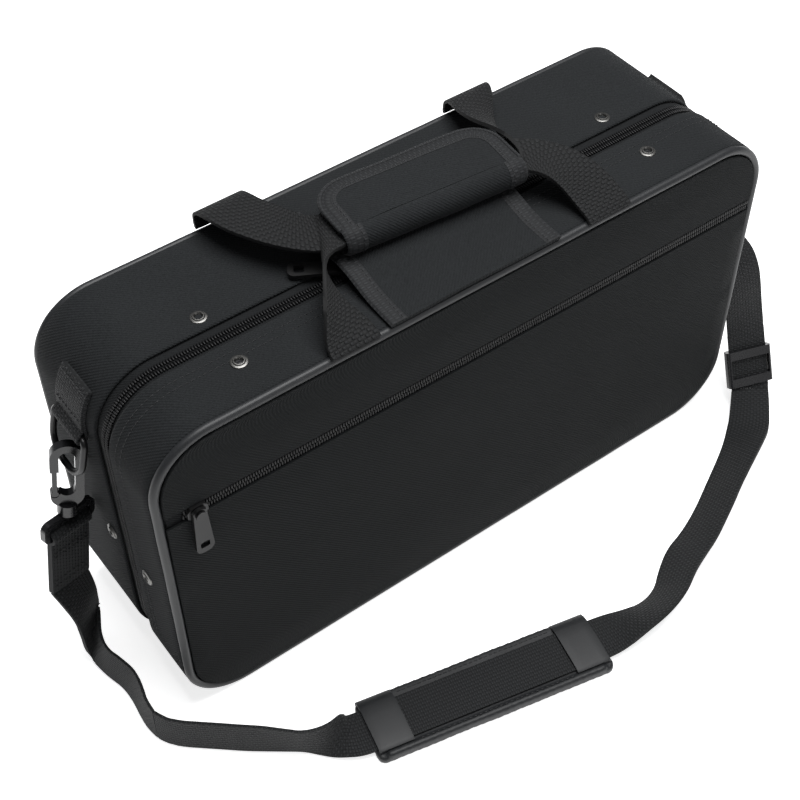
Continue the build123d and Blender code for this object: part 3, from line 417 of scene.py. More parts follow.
def add_sheet(mesh, rows, thickness, loop=False, edge=0.3):
    """Add a closed sheet to mesh: rows of points on its outer face, each row running along it."""
    rows = [[Vector(p) for p in row] for row in rows]
    tall, wide = len(rows), len(rows[0])
    out = normals_of(rows, loop)
    u = [x * MM for x in lengths(rows[tall // 2], loop)]
    v = [x * MM for x in lengths([row[wide // 2] for row in rows])]
    uv = mesh.loops.layers.uv.verify()
    outer = [[mesh.verts.new(p) for p in row] for row in rows]
    inner = [[mesh.verts.new(p - n * thickness) for p, n in zip(row, line)] for row, line in zip(rows, out)]

    def face(corners):
        made = mesh.faces.new([vert for vert, _ in corners])
        for loop_corner, (_, place) in zip(made.loops, corners):
            loop_corner[uv].uv = place
        return made

    spans = wide if loop else wide - 1
    rims = []
    for i in range(tall - 1):
        for j in range(spans):
            k = (j + 1) % wide
            square = [(i, j, j), (i, k, j + 1), (i + 1, k, j + 1), (i + 1, j, j)]
            face([(outer[a][b], (u[c], v[a])) for a, b, c in square])
            face([(inner[a][b], (u[c], v[a])) for a, b, c in reversed(square)])
    for i, turned in ((0, True), (tall - 1, False)):
        for j in range(spans):
            k = (j + 1) % wide
            ring = [(outer[i][j], (u[j], v[i])), (outer[i][k], (u[j + 1], v[i])),
                    (inner[i][k], (u[j + 1], v[i])), (inner[i][j], (u[j], v[i]))]
            rims.append(face(ring[::-1] if turned else ring))
    if not loop:
        for j, turned in ((0, False), (wide - 1, True)):
            for i in range(tall - 1):
                ring = [(outer[i][j], (u[j], v[i])), (outer[i + 1][j], (u[j], v[i + 1])),
                        (inner[i + 1][j], (u[j], v[i + 1])), (inner[i][j], (u[j], v[i]))]
                rims.append(face(ring[::-1] if turned else ring))
    if edge:
        rim_faces = set(rims)
        cut = dict.fromkeys(e for rim in rims for e in rim.edges if not rim_faces.issuperset(e.link_faces))
        bmesh.ops.bevel(mesh, geom=list(cut), offset=edge, segments=2, affect="EDGES", profile=0.6)
    return out


def sheet_piece(name, rows, thickness, look, body, edge):
    """A sheet as a piece of its own."""
    mesh = bmesh.new()
    add_sheet(mesh, rows, thickness, edge=edge)
    return finish_mesh(name, mesh, look, body)


print("sheets carry UVs in metres")

# %% [markdown]
# ## Flat bands
# Webbing is a flat band that bends easily across its width and hardly at all along it, so where it turns
# sideways it has to twist. A line alone can't say that. Here a band's two edges are each a smooth spline, and
# the grid between them is the webbing.

# %% Bands between two splines
STRAP_WIDTH, STRAP_THICK = 25.0, 1.6
LANES = (-0.5, -0.25, 0, 0.25, 0.5)


def heading(turn, tilt=0.0):
    """The unit vector turned round from +X and tilted up from level, in degrees."""
    return Vector((cos(radians(turn)) * cos(radians(tilt)), sin(radians(turn)) * cos(radians(tilt)),
                   sin(radians(tilt))))


def spline(points, steps=10):
    """Points along the NURBS curve whose control points are given, in millimetres."""
    curve = bpy.data.curves.new("route", "CURVE")
    curve.dimensions = "3D"
    line = curve.splines.new("NURBS")
    line.points.add(len(points) - 1)
    for knot, place in zip(line.points, points):
        knot.co = (*place, 1)
    line.order_u, line.use_endpoint_u, line.resolution_u = 3, True, steps
    holder = bpy.data.objects.new("route", curve)
    data = bpy.data.meshes.new_from_object(holder)
    read = [v.co.copy() for v in data.vertices]
    bpy.data.objects.remove(holder)
    bpy.data.curves.remove(curve)
    bpy.data.meshes.remove(data)
    return read


def band(stations, width, lanes=8, steps=10):
    """A flat band's centreline and grid. stations are x, y, z and its width's heading and rise."""
    places = [Vector(station[:3]) for station in stations]
    ways = [heading(*station[3:]) for station in stations]
    edges = [spline([p + w * (side * width / 2) for p, w in zip(places, ways)], steps) for side in (-1, 1)]
    rows = [[a.lerp(b, lane / lanes) for a, b in zip(*edges)] for lane in range(lanes + 1)]
    return spline(places, steps), rows


def centred(rows, thickness):
    """Move a grid half its thickness outwards, so that the sheet is centred on it."""
    out = normals_of(rows, False)
    return [[p + n * (thickness / 2) for p, n in zip(row, line)] for row, line in zip(rows, out)]


print("bands are", STRAP_WIDTH, "mm wide on the strap")

# %% [markdown]
# ## The strap's route
# The strap is one length of 25 mm webbing. It hangs from the left hook, lies on its edge round the front
# corner, passes through the keepers of its pad and climbs through an adjuster to the right hook. A station of
# its route gives a place, and the heading and rise of the band's width there. The route is split in three.

# %% The strap's stations
EYE_X, RING_Y, EYE_BAR, END_LENGTH, SPLIT_GAP = 206.9, 15.5, 4.7, 42.0, 0.3
eyes = {}
for hand, side, level_z, lean, eye_turn in (("left", -1, 104.0, 10.0, 15.0), ("right", 1, 108.7, 0.0, 0.0)):
    axis = heading(90 + side * 90, 90 - lean)
    out = heading(90 - side * (90 + eye_turn))
    bar_way = (out - axis * out.dot(axis)).normalized() * side
    eyes[hand] = Vector((side * EYE_X, RING_Y, level_z)) - axis * EYE_BAR, axis, bar_way
hangs = {}
for hand, fold in (("left", 0.0), ("right", radians(-85.0))):
    bar, axis, bar_way = eyes[hand]
    rear_way = axis.cross(bar_way)
    flat = rear_way * cos(fold) + axis * sin(fold)
    hangs[hand] = bar, flat, bar_way.cross(flat), bar_way


def end_station(hand, past):
    """A station past the sewn end's tail, whose width lies along the eye's bar."""
    bar, _, up, bar_way = hangs[hand]
    lie = bar_way * (1 if hand == "left" else -1)
    return (*(bar - up * (END_LENGTH + past)), atan2(lie.y, lie.x) / pi * 180, asin(lie.z) / pi * 180)


left_split, left_way = Vector((-213.2, -60.2, 13.7)), Vector((2.2, -10, 0)).normalized()
right_split, right_way = Vector((203.9, -75.0, 10.3)), Vector((7.5, 11.5, 10.5)).normalized()
PAD_TURN, PAD_LENGTH, PAD_THICK, PAD_PLAY = -12.4, 138.0, 4.0, 8.0
pad_middle, pad_along = Vector((-58.0, -139.2, 0)), heading(PAD_TURN)
ON_PAD = PAD_THICK + 0.2 + STRAP_THICK / 2
straight = PAD_LENGTH / 2 + PAD_PLAY
on_pad = [
    (*(pad_middle + pad_along * reach)[:2], ON_PAD, 90 + PAD_TURN, 0)
    for reach in (-straight, 15 - straight, straight - 15, straight)
]
left_route = [
    end_station("left", SPLIT_GAP),
    (-211.9, 10.1, 43.2, 37, -7), (-212.3, 8, 30, 43, 1), (-212.2, 8.8, 20, 40, 22),
    (-213.2, 5.4, 14.6, 27, 56), (-215.4, -3.4, 14.2, 15, 76), (-215.3, -13, 14.1, 5, 84),
    (-212.2, -23.1, 13.9, 0, 84), (-211, -33.5, 13.8, -5, 79.5), (-212.6, -44, 13.7, 0, 80.6),
    (-214.1, -53, 13.7, 8, 85), (*(left_split - left_way * (SPLIT_GAP / 2)), 25, 88),
]
front_route = [
    (*(left_split + left_way * (SPLIT_GAP / 2)), 25, 88),
    (-211, -66, 13.7, 38, 89), (-205.4, -72.7, 13.7, 45, 90), (-197.6, -79.5, 13.8, 45, 90),
    (-189.4, -86.5, 13.8, 45, 90), (-181.4, -93.6, 13.9, 45, 90), (-173, -100.4, 14, 46, 91),
    (-165, -107.5, 14.1, 50, 94.5), (-157, -114.3, 14, 75, 98), (-148.2, -119, 13.3, -3, 76),
    (-139.5, -120.6, 11.2, 43.6, 50), *on_pad,
    (31.3, -158.1, 7.5, 83.5, -25), (45.8, -159.5, 9.2, 94.2, -38), (60.1, -156.2, 9.9, 106, -42),
    (72.7, -148.2, 9.7, 113, -36.4), (85.8, -142, 9.3, 112.6, -27.5), (98.7, -138, 8.6, 112.7, -31.5),
    (111.2, -132.7, 8.9, 113.7, -36), (123.5, -126.9, 9, 115.2, -37.2),
    (135.6, -120.5, 9.1, 116.5, -37.4), (147.9, -114.4, 8.8, 117.9, -35.3),
    (160.1, -108.3, 8.1, 120.3, -32.3), (172, -102, 6.8, 124.3, -26.2), (183.1, -95.1, 4.1, 130, -11.6),
    (193, -87.2, 4, 140, 6), (*(right_split - right_way * (SPLIT_GAP / 2)), 155, 13),
]
right_route = [
    (*(right_split + right_way * (SPLIT_GAP / 2)), 155, 13),
    (205.2, -73.3, 11.8, 163, 3.2), (211.8, -56, 41, 163, 3.2), (211.4, -53.2, 51, 168, -2),
    (210.4, -51, 62, 171, -5), (209.2, -48.5, 74.4, 171, -6), (208.4, -44.6, 86.6, 171, -6),
    (207.8, -37, 96.6, 174, -4), end_station("right", SPLIT_GAP),
]
print(len(left_route) + len(front_route) + len(right_route), "points on the strap's route")

# %% [markdown]
# ## The strap's pieces
# Each end of the strap goes round the bar of its swivel eye and is sewn back on itself, so it is two layers
# thick. The end and the run below it are one piece here, because on a real strap they are one webbing.

# %% Strap pieces
EYE_LOOP = 1.7 * 2 ** 0.5 + 0.2 + STRAP_THICK


def loop_round_bar(hand):
    """Rows for the doubled end: up one face, round the bar and down the other."""
    bar, flat, up, bar_way = hangs[hand]
    half = STRAP_THICK + 0.05
    reach = asin((half - 0.1) / EYE_LOOP)
    line = [bar - up * (END_LENGTH - k * (END_LENGTH - 7) / 14) + flat * half for k in range(15)]
    for k in range(23):
        angle = -pi / 2 + reach + k / 22 * (2 * pi - 2 * reach)
        line.append(bar + (flat * cos(angle) + up * sin(angle)) * EYE_LOOP)
    line += [bar - up * (7 + k * (END_LENGTH - 7) / 14) - flat * half for k in range(15)]
    return [[p + bar_way * (lane * STRAP_WIDTH) for p in line] for lane in LANES]


def strap_run(name, route, ends=()):
    """One stretch of strap as a sheet, with its centreline for measuring its length."""
    centre, rows = band(route, STRAP_WIDTH)
    mesh = bmesh.new()
    for grid in (centred(rows, STRAP_THICK), *ends):
        add_sheet(mesh, grid, STRAP_THICK, edge=0.35)
    piece = finish_mesh(name, mesh, strap_weave, None)
    return piece, centre


left_strap, left_line = strap_run("strap_left", left_route, [loop_round_bar("left")])
front_strap, front_line = strap_run("strap_front", front_route)
right_strap, right_line = strap_run("strap_right", right_route, [loop_round_bar("right")])
left_line[0] * MM
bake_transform(left_strap)
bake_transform(front_strap)
right_line[-1] * MM
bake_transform(right_strap)
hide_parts("strap_left_run", "left_strap_end")
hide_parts("strap_front_run")
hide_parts("strap_right_run", "right_strap_end")
left_line.insert(0, hangs["left"][0] + hangs["left"][2] * (EYE_LOOP - STRAP_THICK / 2))
right_line.append(hangs["right"][0] + hangs["right"][2] * (EYE_LOOP - STRAP_THICK / 2))
for piece, line in ((left_strap, left_line), (front_strap, front_line), (right_strap, right_line)):
    line[0] * MM
    lengths(line)[-1] * MM
    [p * MM for p in line]
    print(piece.name, "is", round(lengths(line)[-1]), "mm long")

# %% [markdown]
# ## The case's outline
# Every cloth band of this case follows one rounded outline, so a piece is drawn by how far along that outline
# it reaches, how far it is drawn in from the outside, and where it lies from front to back. The slight
# unevenness of hand-sewn cloth over board is smooth noise, added to the places of the points.

# %% Outline by length along it
LONG, HIGH, CORNER = 380.0, 208.0, 35.0
FRONT, BACK, PARTING = -57.5, 57.5, -12.5
BASE_HEM, LID_HEM = PARTING + 7.6, PARTING - 5.7
ARC = CORNER * pi / 2
SIDES = (LONG / 2 - CORNER, HIGH - 2 * CORNER, LONG - 2 * CORNER, HIGH - 2 * CORNER, LONG / 2 - CORNER)
AROUND = sum(SIDES) + 4 * ARC


def outline(t, inset=0.0):
    """The point t along the outline from the middle of the underside, towards +X, and its outward way."""
    t = t % AROUND
    place, way = Vector((0, 0, 0)), Vector((1, 0, 0))
    for number, side in enumerate(SIDES):
        if t <= side or number == 4:
            out = Vector((way.z, 0, -way.x))
            return place + way * t - out * inset, out
        place, t = place + way * side, t - side
        centre = place + Vector((-way.z, 0, way.x)) * CORNER
        if t <= ARC:
            angle = atan2(way.z, way.x) - pi / 2 + t / CORNER
            out = Vector((cos(angle), 0, sin(angle)))
            return centre + out * (CORNER - inset), out
        way = Vector((-way.z, 0, way.x))
        place, t = centre - Vector((-way.z, 0, way.x)) * CORNER, t - ARC
    return place, way


def stops(start, end, straight=7.0, bend=3.0):
    """Lengths along the outline from start to end, closer together round the corners."""
    found, t = [start], start
    while t < end - 1e-6:
        here, ahead = outline(t + 1e-4)[1], outline(t + straight)[1]
        t = min(end, t + (straight if here.dot(ahead) > 0.9999 else bend))
        found.append(t)
    return found


def sag(place, amount, size=70.0, seed=0.0):
    """Smooth unevenness from -amount to amount at a place in millimetres."""
    return amount * noise.noise(place / size + Vector((seed, seed * 1.7, 3.1)))


def swept(profile, start=0.0, end=AROUND, uneven=0.0, size=60.0):
    """Grid rows along the outline. profile lists (y, inset) across the band, from the first row on."""
    places = stops(start, end)[:-1] if end - start >= AROUND else stops(start, end)
    rows = []
    for y, inset in profile:
        row = []
        for t in places:
            point, out = outline(t, inset)
            point.y = y
            row.append(point + out * (sag(point, uneven, size) if uneven else 0))
        rows.append(row)
    return rows


print("outline", round(AROUND, 1), "mm round")

# %% [markdown]
# ## Stitching
# Sewn seams are what tells cloth goods from moulded ones. Each stitch is a short fat capsule that dips into
# the cloth at both ends, laid along a line at an even pitch.


# %% Stitches along a line
CAPSULE = ((-1, -0.5, 0.35), (-0.72, 0.1, 0.9), (0, 0.35, 1), (0.72, 0.1, 0.9), (1, -0.5, 0.35))
FIFTHS = [k * tau / 5 for k in range(5)]
STITCH_FILL = 0.78


def stitch_row(mesh, points, ways, pitch=3.2, thick=0.45):
    """Lay stitches along a line of points, with ways the surface's outward directions.

    CAPSULE gives each ring of a stitch: its reach along the line, its rise off the cloth and its girth.
    """
    run = lengths(points)
    count = int(run[-1] / pitch)
    spot = 0
    for number in range(count):
        middle = (number + 0.5) * run[-1] / count
        while run[spot + 1] < middle:
            spot += 1
        share = (middle - run[spot]) / (run[spot + 1] - run[spot])
        centre = points[spot].lerp(points[spot + 1], share)
        along = (points[spot + 1] - points[spot]).normalized()
        normal = ways[spot].lerp(ways[spot + 1], share).normalized()
        side = normal.cross(along)
        half = pitch * STITCH_FILL / 2
        rings = []
        for reach, rise, girth in CAPSULE:
            hub = centre + along * (reach * half) + normal * (rise * thick)
            rings.append([
                mesh.verts.new(hub + (side * cos(a) + normal * sin(a)) * (girth * thick / 2 * 1.15))
                for a in FIFTHS
            ])
        for near, far in zip(rings, rings[1:]):
            for k in range(5):
                mesh.faces.new((near[k], near[(k + 1) % 5], far[(k + 1) % 5], far[k]))
        mesh.faces.new(rings[0][::-1])
        mesh.faces.new(rings[-1])


def stitches(name, lines, body, **sizes):
    """Stitch rows as a piece of their own. lines are (points, outward ways)."""
    mesh = bmesh.new()
    for line, out in lines:
        stitch_row(mesh, line, out, **sizes)
    return finish_mesh(name, mesh, thread_black, body, sharp=70)


# %% [markdown]
# ## Cloth covers
# Each half of the case is cloth glued over board: a long gusset round the outline and one big panel. The
# gusset is a band whose hem is folded in along the zipper, so it ends in a soft round edge and not a cut one.

# %% Gussets
WALL, PIPING, PIPING_SEAT = 2.0, 2.4, 5.0


def gusset(mesh, hem, seam):
    """The band of cloth round one half, from its folded hem to the seam where the piping is sewn."""
    way = 1 if seam > hem else -1
    fold = hem + way * 1.5
    reach = seam - way * PIPING_SEAT - fold
    profile = [(hem + way * 4.5, WALL), (hem + way * 0.9, WALL), (hem + way * 0.1, WALL * 0.8),
               (hem, WALL * 0.45), (hem + way * 0.35, 0.25), (fold, 0)]
    profile += [(fold + reach * k / 7, 0) for k in range(1, 8)]
    profile += [(seam - way * PIPING_SEAT * 0.7, 0.8), (seam - way * PIPING_SEAT * 0.6, 2.4)]
    add_sheet(mesh, swept(profile if way < 0 else profile[::-1], uneven=0.5), 0.9, loop=True, edge=0)


def panel(z_from, z_to, y, inset, crown, tuck=1.3):
    """Rows for one flat face of the case between two heights, its edges turned in all round."""
    side = 1 if y > 0 else -1
    arc = [CORNER - (CORNER - inset) * cos(pi * k / 16) for k in range(1, 8)]
    flat = [CORNER + (HIGH - 2 * CORNER) * k / 16 for k in range(17)]
    between = [z for z in arc + flat + [HIGH - z for z in reversed(arc)] if z_from + 0.3 < z < z_to - 0.3]
    levels = [z_from, *between, z_to]
    last = len(levels) - 1
    rows = []
    for k in range(-2, last + 3):
        z = levels[min(max(k, 0), last)]
        dip = {-2: tuck, -1: 0.35, last + 1: 0.35, last + 2: tuck}.get(k, 0)
        slip = {-2: 0.2, -1: 0.15, last + 1: -0.15, last + 2: -0.2}.get(k, 0)
        off = max(CORNER - z, z - (HIGH - CORNER), 0)
        half = LONG / 2 - CORNER + sqrt(max((CORNER - inset) ** 2 - off ** 2, 0))
        row = []
        for lane in range(-22, 23):
            across = min(max(lane / 20, -1), 1)
            edge = {21: 0.35, 22: tuck}.get(abs(lane), 0)
            place = Vector((across * (half - (0 if abs(lane) > 20 else 0.4)), y, z - slip))
            fade = max(0, (1 - across ** 6) * min(1, (z - z_from) / 18, (z_to - z) / 18))
            rise = crown * fade + sag(place, 0.4, 55.0) * fade - max(dip, edge)
            row.append(place + Vector((0, side * rise, 0)))
        rows.append(row if side < 0 else row[::-1])
    return rows


base_mesh = bmesh.new()
gusset(base_mesh, BASE_HEM, BACK)
add_sheet(base_mesh, panel(PIPING_SEAT, HIGH - PIPING_SEAT, BACK, PIPING_SEAT, 0.9), 0.9, edge=0)
base_cloth = finish_mesh("base_cloth", base_mesh, case_cloth, "base", sharp=60)
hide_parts("base_cover")

LID_FLOOR = FRONT + 2.6
lid_mesh = bmesh.new()
gusset(lid_mesh, LID_HEM, FRONT)
lid_seat = PIPING_SEAT + 0.3
add_sheet(lid_mesh, panel(lid_seat, HIGH - lid_seat, LID_FLOOR, lid_seat, 0, 0.4), 1.9, edge=0)
lid_cloth = finish_mesh("lid_cloth", lid_mesh, case_cloth, "lid", sharp=60)
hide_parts("lid_cover")
print("two covers of", len(base_cloth.data.vertices), "and", len(lid_cloth.data.vertices), "points")

# %% [markdown]
# ## Front pocket
# The whole front is a flat pocket. Its cloth is cut in two at the zipper, each cut edge turned in and sewn,
# so both parts are panels of the same outline that stop short of each other.

# %% Pocket panels
POCKET_ZIP, POCKET_SLIT = 159.0, 8.2
pocket_parts = (
    ("pocket_lower", PIPING_SEAT, POCKET_ZIP - POCKET_SLIT / 2, "pocket_lower_panel"),
    ("pocket_upper", POCKET_ZIP + POCKET_SLIT / 2, HIGH - PIPING_SEAT, "pocket_upper_panel"),
)
for name, z_from, z_to, node in pocket_parts:
    part = sheet_piece(name, panel(z_from, z_to, FRONT, PIPING_SEAT, 0.8), 0.9, panel_cloth, "lid", edge=0)
    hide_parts(node)
    print(name, [round(size / MM) for size in part.dimensions])

# %% [markdown]
# ## Piping
# A vinyl cord is sewn into the seam between gusset and panel, front and back. It is a bead on the very corner
# of the case, so its highlight draws the outline of the whole object.


# %% Tubes and piping
def tube(mesh, line, out, radius, sides, loop=False):
    """Add a round bead along line. out holds the ways that point out of the surface it lies on."""
    uv = mesh.loops.layers.uv.verify()
    wide = len(line)
    u = [x * MM for x in lengths(line, loop)]
    rings = []
    for j, (centre, way) in enumerate(zip(line, out)):
        ahead = line[(j + 1) % wide] if loop else line[min(j + 1, wide - 1)]
        behind = line[j - 1] if loop or j else line[0]
        along = (ahead - behind).normalized()
        side = way.cross(along).normalized()
        rise = along.cross(side)
        rings.append([
            mesh.verts.new(centre + side * (cos(a) * radius) + rise * (sin(a) * radius))
            for a in (tau * k / sides for k in range(sides))
        ])
    for j in range(wide if loop else wide - 1):
        near, far = rings[j], rings[(j + 1) % wide]
        for k in range(sides):
            n = (k + 1) % sides
            made = mesh.faces.new((near[k], near[n], far[n], far[k]))
            arc = tau * radius * MM / sides
            places = ((u[j], k), (u[j], k + 1), (u[j + 1], k + 1), (u[j + 1], k))
            for corner, (length, side_number) in zip(made.loops, places):
                corner[uv].uv = (length, side_number * arc)
    if not loop:
        mesh.faces.new(rings[0][::-1])
        mesh.faces.new(rings[-1])


def beading(name, y, body, node):
    """The piping of one panel, all round the case."""
    side = 1 if y > 0 else -1
    line, ways = [], []
    for t in stops(0, AROUND, 5.0, 2.5)[:-1]:
        point, out = outline(t, PIPING + 0.1)
        point.y = y - side * (PIPING + 0.1)
        line.append(point + out * sag(point, 0.25, 22.0, 4.0))
        ways.append(out)
    mesh = bmesh.new()
    tube(mesh, line, ways, PIPING, 14, loop=True)
    piece = finish_mesh(name, mesh, piping_vinyl, body, sharp=180)
    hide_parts(node)


beading("base_bead", BACK, "base", "base_piping")
beading("lid_bead", FRONT, "lid", "lid_piping")
print("piping of", 2 * PIPING, "mm")

# %% [markdown]
# ## Zippers
# A coil zipper is two spirals of nylon sewn to the edges of two tapes. Each tooth seen from outside is one
# turn of the spiral, so it is drawn as a fat bar with round ends, and the two halves lie half a pitch apart.
# The tapes are woven and lie a little below the hems.

# %% Zipper tapes and teeth
HALF_GAP, CHAIN_WIDTH, CHAIN_HIGH, TAPE_INSET, TAPE_THICK, TAPE_HIDDEN = 0.25, 2.8, 1.4, 2.2, 0.8, 5.6
ZIP_START = SIDES[0] + ARC + 38.0 - CORNER
PITCH = 1.5


def tooth(mesh, centre, along, across, up, half, girth):
    """One turn of the coil: a bar across the zipper with round ends."""
    rings = []
    for reach, share in ((-1, 0.35), (-0.82, 0.9), (0, 1), (0.82, 0.9), (1, 0.35)):
        hub = centre + across * (reach * half)
        rings.append([
            mesh.verts.new(hub + (along * cos(a) * 0.82 + up * sin(a)) * (girth * share))
            for a in (tau * k / 6 for k in range(6))
        ])
    for near, far in zip(rings, rings[1:]):
        for k in range(6):
            n = (k + 1) % 6
            mesh.faces.new((near[k], far[k], far[n], near[n]))
    mesh.faces.new(rings[0])
    mesh.faces.new(rings[-1][::-1])


for name, way, hem, number in (("base", 1, BASE_HEM, 0), ("lid", -1, LID_HEM, 1)):
    near, far = PARTING + way * HALF_GAP, hem + way * TAPE_HIDDEN
    profile = [(near, TAPE_INSET), ((near + hem) / 2, TAPE_INSET), (hem, TAPE_INSET), (far, TAPE_INSET)]
    profile = profile if way < 0 else profile[::-1]
    rows = swept(profile, ZIP_START, AROUND - ZIP_START)
    tape = sheet_piece(f"{name}_tape", rows, TAPE_THICK, tape_cloth, name, edge=0.15)
    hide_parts(f"{name}_zipper_tape")
    turns = bmesh.new()
    count = int((AROUND - 2 * ZIP_START) / PITCH)
    for k in range(count):
        reach = ZIP_START + (k + 0.25 + 0.5 * number) * PITCH
        point, out = outline(reach, TAPE_INSET - CHAIN_HIGH * 0.48)
        point.y = PARTING + way * (HALF_GAP + CHAIN_WIDTH / 2)
        tooth(turns, point, Vector((-out.z, 0, out.x)), Vector((0, 1, 0)), out, CHAIN_WIDTH / 2 + 0.1, 0.66)
    coil = finish_mesh(f"{name}_coil", turns, coil_nylon, name, sharp=180)
    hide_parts(f"{name}_zipper_chain")
    print(name, "half of the zipper has", count, "teeth")

# %% [markdown]
# ## Hinge cloth and pocket zipper
# Below the zipper's ends the two halves are joined by a folded strip of the same cloth, which is the hinge.
# The pocket has a smaller run of the same coil zipper, laid flat behind the slit.

# %% Hinge cloth and pocket zipper
for name, way, hem in (("base", 1, BASE_HEM), ("lid", -1, LID_HEM)):
    near, far = PARTING + way * HALF_GAP, hem + way * TAPE_HIDDEN
    profile = [(near, TAPE_INSET + 0.6), (near + way * 0.6, TAPE_INSET), (hem, TAPE_INSET), (far, TAPE_INSET)]
    reach = ZIP_START - HALF_GAP
    rows = swept(profile if way < 0 else profile[::-1], AROUND - reach, AROUND + reach)
    hinge = sheet_piece(f"{name}_hinge", rows, TAPE_THICK, case_cloth, name, edge=0.15)
    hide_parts(f"{name}_hinge_cloth")

POCKET_TAPE_Y, POCKET_REACH, POCKET_START = FRONT + 1.7, 184.6, -176.0
EAST, UPWARDS, FORWARDS = Vector((1, 0, 0)), Vector((0, 0, 1)), Vector((0, -1, 0))
tape_rows = [
    [Vector((x, POCKET_TAPE_Y, POCKET_ZIP + z)) for x in range(-184, 185, 8)]
    for z in (-POCKET_SLIT / 2 - TAPE_HIDDEN, -2.5, 2.5, POCKET_SLIT / 2 + TAPE_HIDDEN)
]
pocket_tape = sheet_piece("pocket_tape", tape_rows, 0.6, tape_cloth, "lid", edge=0.15)
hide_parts("pocket_zipper_tape")
turns = bmesh.new()
for side in (-1, 1):
    for k in range(int((POCKET_REACH - POCKET_START) / PITCH)):
        x = POCKET_START + (k + 0.5 + side * 0.25) * PITCH
        centre = Vector((x, POCKET_TAPE_Y - CHAIN_HIGH / 2, POCKET_ZIP + side * (CHAIN_WIDTH / 2 + 0.1)))
        tooth(turns, centre, EAST, UPWARDS, FORWARDS, CHAIN_WIDTH / 2 + 0.2, 0.66)
pocket_coil = finish_mesh("pocket_coil", turns, coil_nylon, "lid", sharp=180)
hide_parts("pocket_zipper_chain")
print("pocket zipper", POCKET_REACH - POCKET_START, "mm long")

# %% [markdown]
# ## Rivets
# The rivets hold the cloth to the board frame. Each is an eyelet with a rolled rim, and a round thing that is
# turned in a press is best spun from its profile. The shade in its hollow is painted: a black disc lies over
# it.

# %% Rivets
RIVET_X, RIVET_Z, SHANK = 125.0, 94.0, 5.7
HEAD = ((0.0, -0.3), (1.7, -0.2), (1.9, 0.7), (2.3, 1.25), (2.8, 1.2), (3.2, 0.75), (3.7, 0.7), (4.2, 0.5),
        (4.4, 0.0), (2.0, -0.1), (2.0, -SHANK), (0.0, -SHANK))
# Profile of the black disc that lies in each rivet's hollow as painted shade.
HOLLOW_SHADE_DISC = ((0.0, 0.1), (1.0, 0.05), (1.75, -0.1))


def spun(mesh, place, axis, profile, sides=28):
    """Spin a profile of (radius, height) about an axis through place."""
    turn = axis.to_track_quat("Z", "Y").to_matrix()
    rings = []
    for radius, height in profile:
        spokes = [tau * k / sides for k in range(sides if radius else 1)]
        rings.append([
            mesh.verts.new(place + turn @ Vector((cos(a) * radius, sin(a) * radius, height))) for a in spokes
        ])
    for near, far in zip(rings, rings[1:]):
        for k in range(sides):
            n = (k + 1) % sides
            corners = (near[k % len(near)], near[n % len(near)], far[n % len(far)], far[k % len(far)])
            mesh.faces.new(list(dict.fromkeys(corners)))


for name, y in (("base", 3.2), ("lid", -32.2)):
    mesh, shade_disc_mesh = bmesh.new(), bmesh.new()
    spots = [(Vector((x, y, HIGH)), Vector((0, 0, 1))) for x in (-RIVET_X, RIVET_X)]
    spots += [(Vector((side * LONG / 2, y, RIVET_Z)), Vector((side, 0, 0))) for side in (-1, 1)]
    for place, axis in spots:
        spun(mesh, place, axis, HEAD)
        spun(shade_disc_mesh, place, axis, HOLLOW_SHADE_DISC, 20)
    rivets = finish_mesh(f"{name}_rivet_heads", mesh, rivet_steel, name)
    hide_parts(f"{name}_rivets")
    # The black discs in the rivets' hollows are painted shade.
    finish_mesh(f"{name}_rivet_shade_discs", shade_disc_mesh, hardware, name)
    print(name, "has", len(spots), "rivets")

# %% [markdown]
# ## Carrying handle
# Two lengths of coarse webbing rise from the seams front and back and run side by side through the grip.
# They twist from lying flat on the top to lying flat in the hand, so each is a band whose width turns as it
# goes. A station gives its place, its rise above the case, and its width's heading and tilt.

# %% Handle webbings
HANDLE_WIDTH, HANDLE_THICK = 27.0, 1.8
handle_routes = {
    "front": (
        (-77.5, -57.6, 0.4, 0, 0), (-77.5, -55, 2.6, 0, 0), (-77.2, -48, 4.6, 12, -8), (-76, -38, 9.8, 36, -28),
        (-72, -25, 16, 56, -38), (-65, -13.5, 17.8, 60, -32), (-58, -4, 17.9, 73, -13),
        (-50, -0.1, 17.9, 85.5, 0), (-37.5, -1.1, 17.9, 85.5, 0), (37.5, -6.9, 17.9, 85.5, 0),
        (50, -7.9, 17.9, 85.5, 0), (62, -16, 17.6, 55, 0), (70.5, -27.5, 15.2, 25, 0), (75, -38, 10, 5, 0),
        (76.5, -48, 4.8, 0, 0), (76.5, -55, 2.8, 0, 0), (76.5, -57.6, 0.4, 0, 0)),
    "back": (
        (-81, 56.3, 0.6, 0, 0), (-81.3, 57.2, 5.5, 0, 0), (-81.4, 56, 11.6, 0, 0), (-80.6, 48.5, 14.6, 3, 0),
        (-79, 40, 14.8, 8, 0), (-75.5, 31, 14.8, 18, 0), (-69, 18, 15, 44, 0), (-60, 5, 15, 68, 0),
        (-50, -0.1, 15.1, 85.5, 0), (-37.5, -1.1, 15.1, 85.5, 0), (37.5, -6.9, 15.1, 85.5, 0),
        (50, -7.9, 15.1, 85.5, 0), (57.5, -3.5, 15, 76, -26), (61.5, 6, 14.6, 62, -38), (62.5, 18, 14, 50, -36),
        (65, 31, 13, 28, -20), (69.5, 43, 12, 8, -4), (72.5, 51, 11, 0, 0), (73.4, 56.3, 8, 0, 0),
        (73.2, 57, 3.5, 0, 0), (73, 56.3, 0.6, 0, 0)),
}
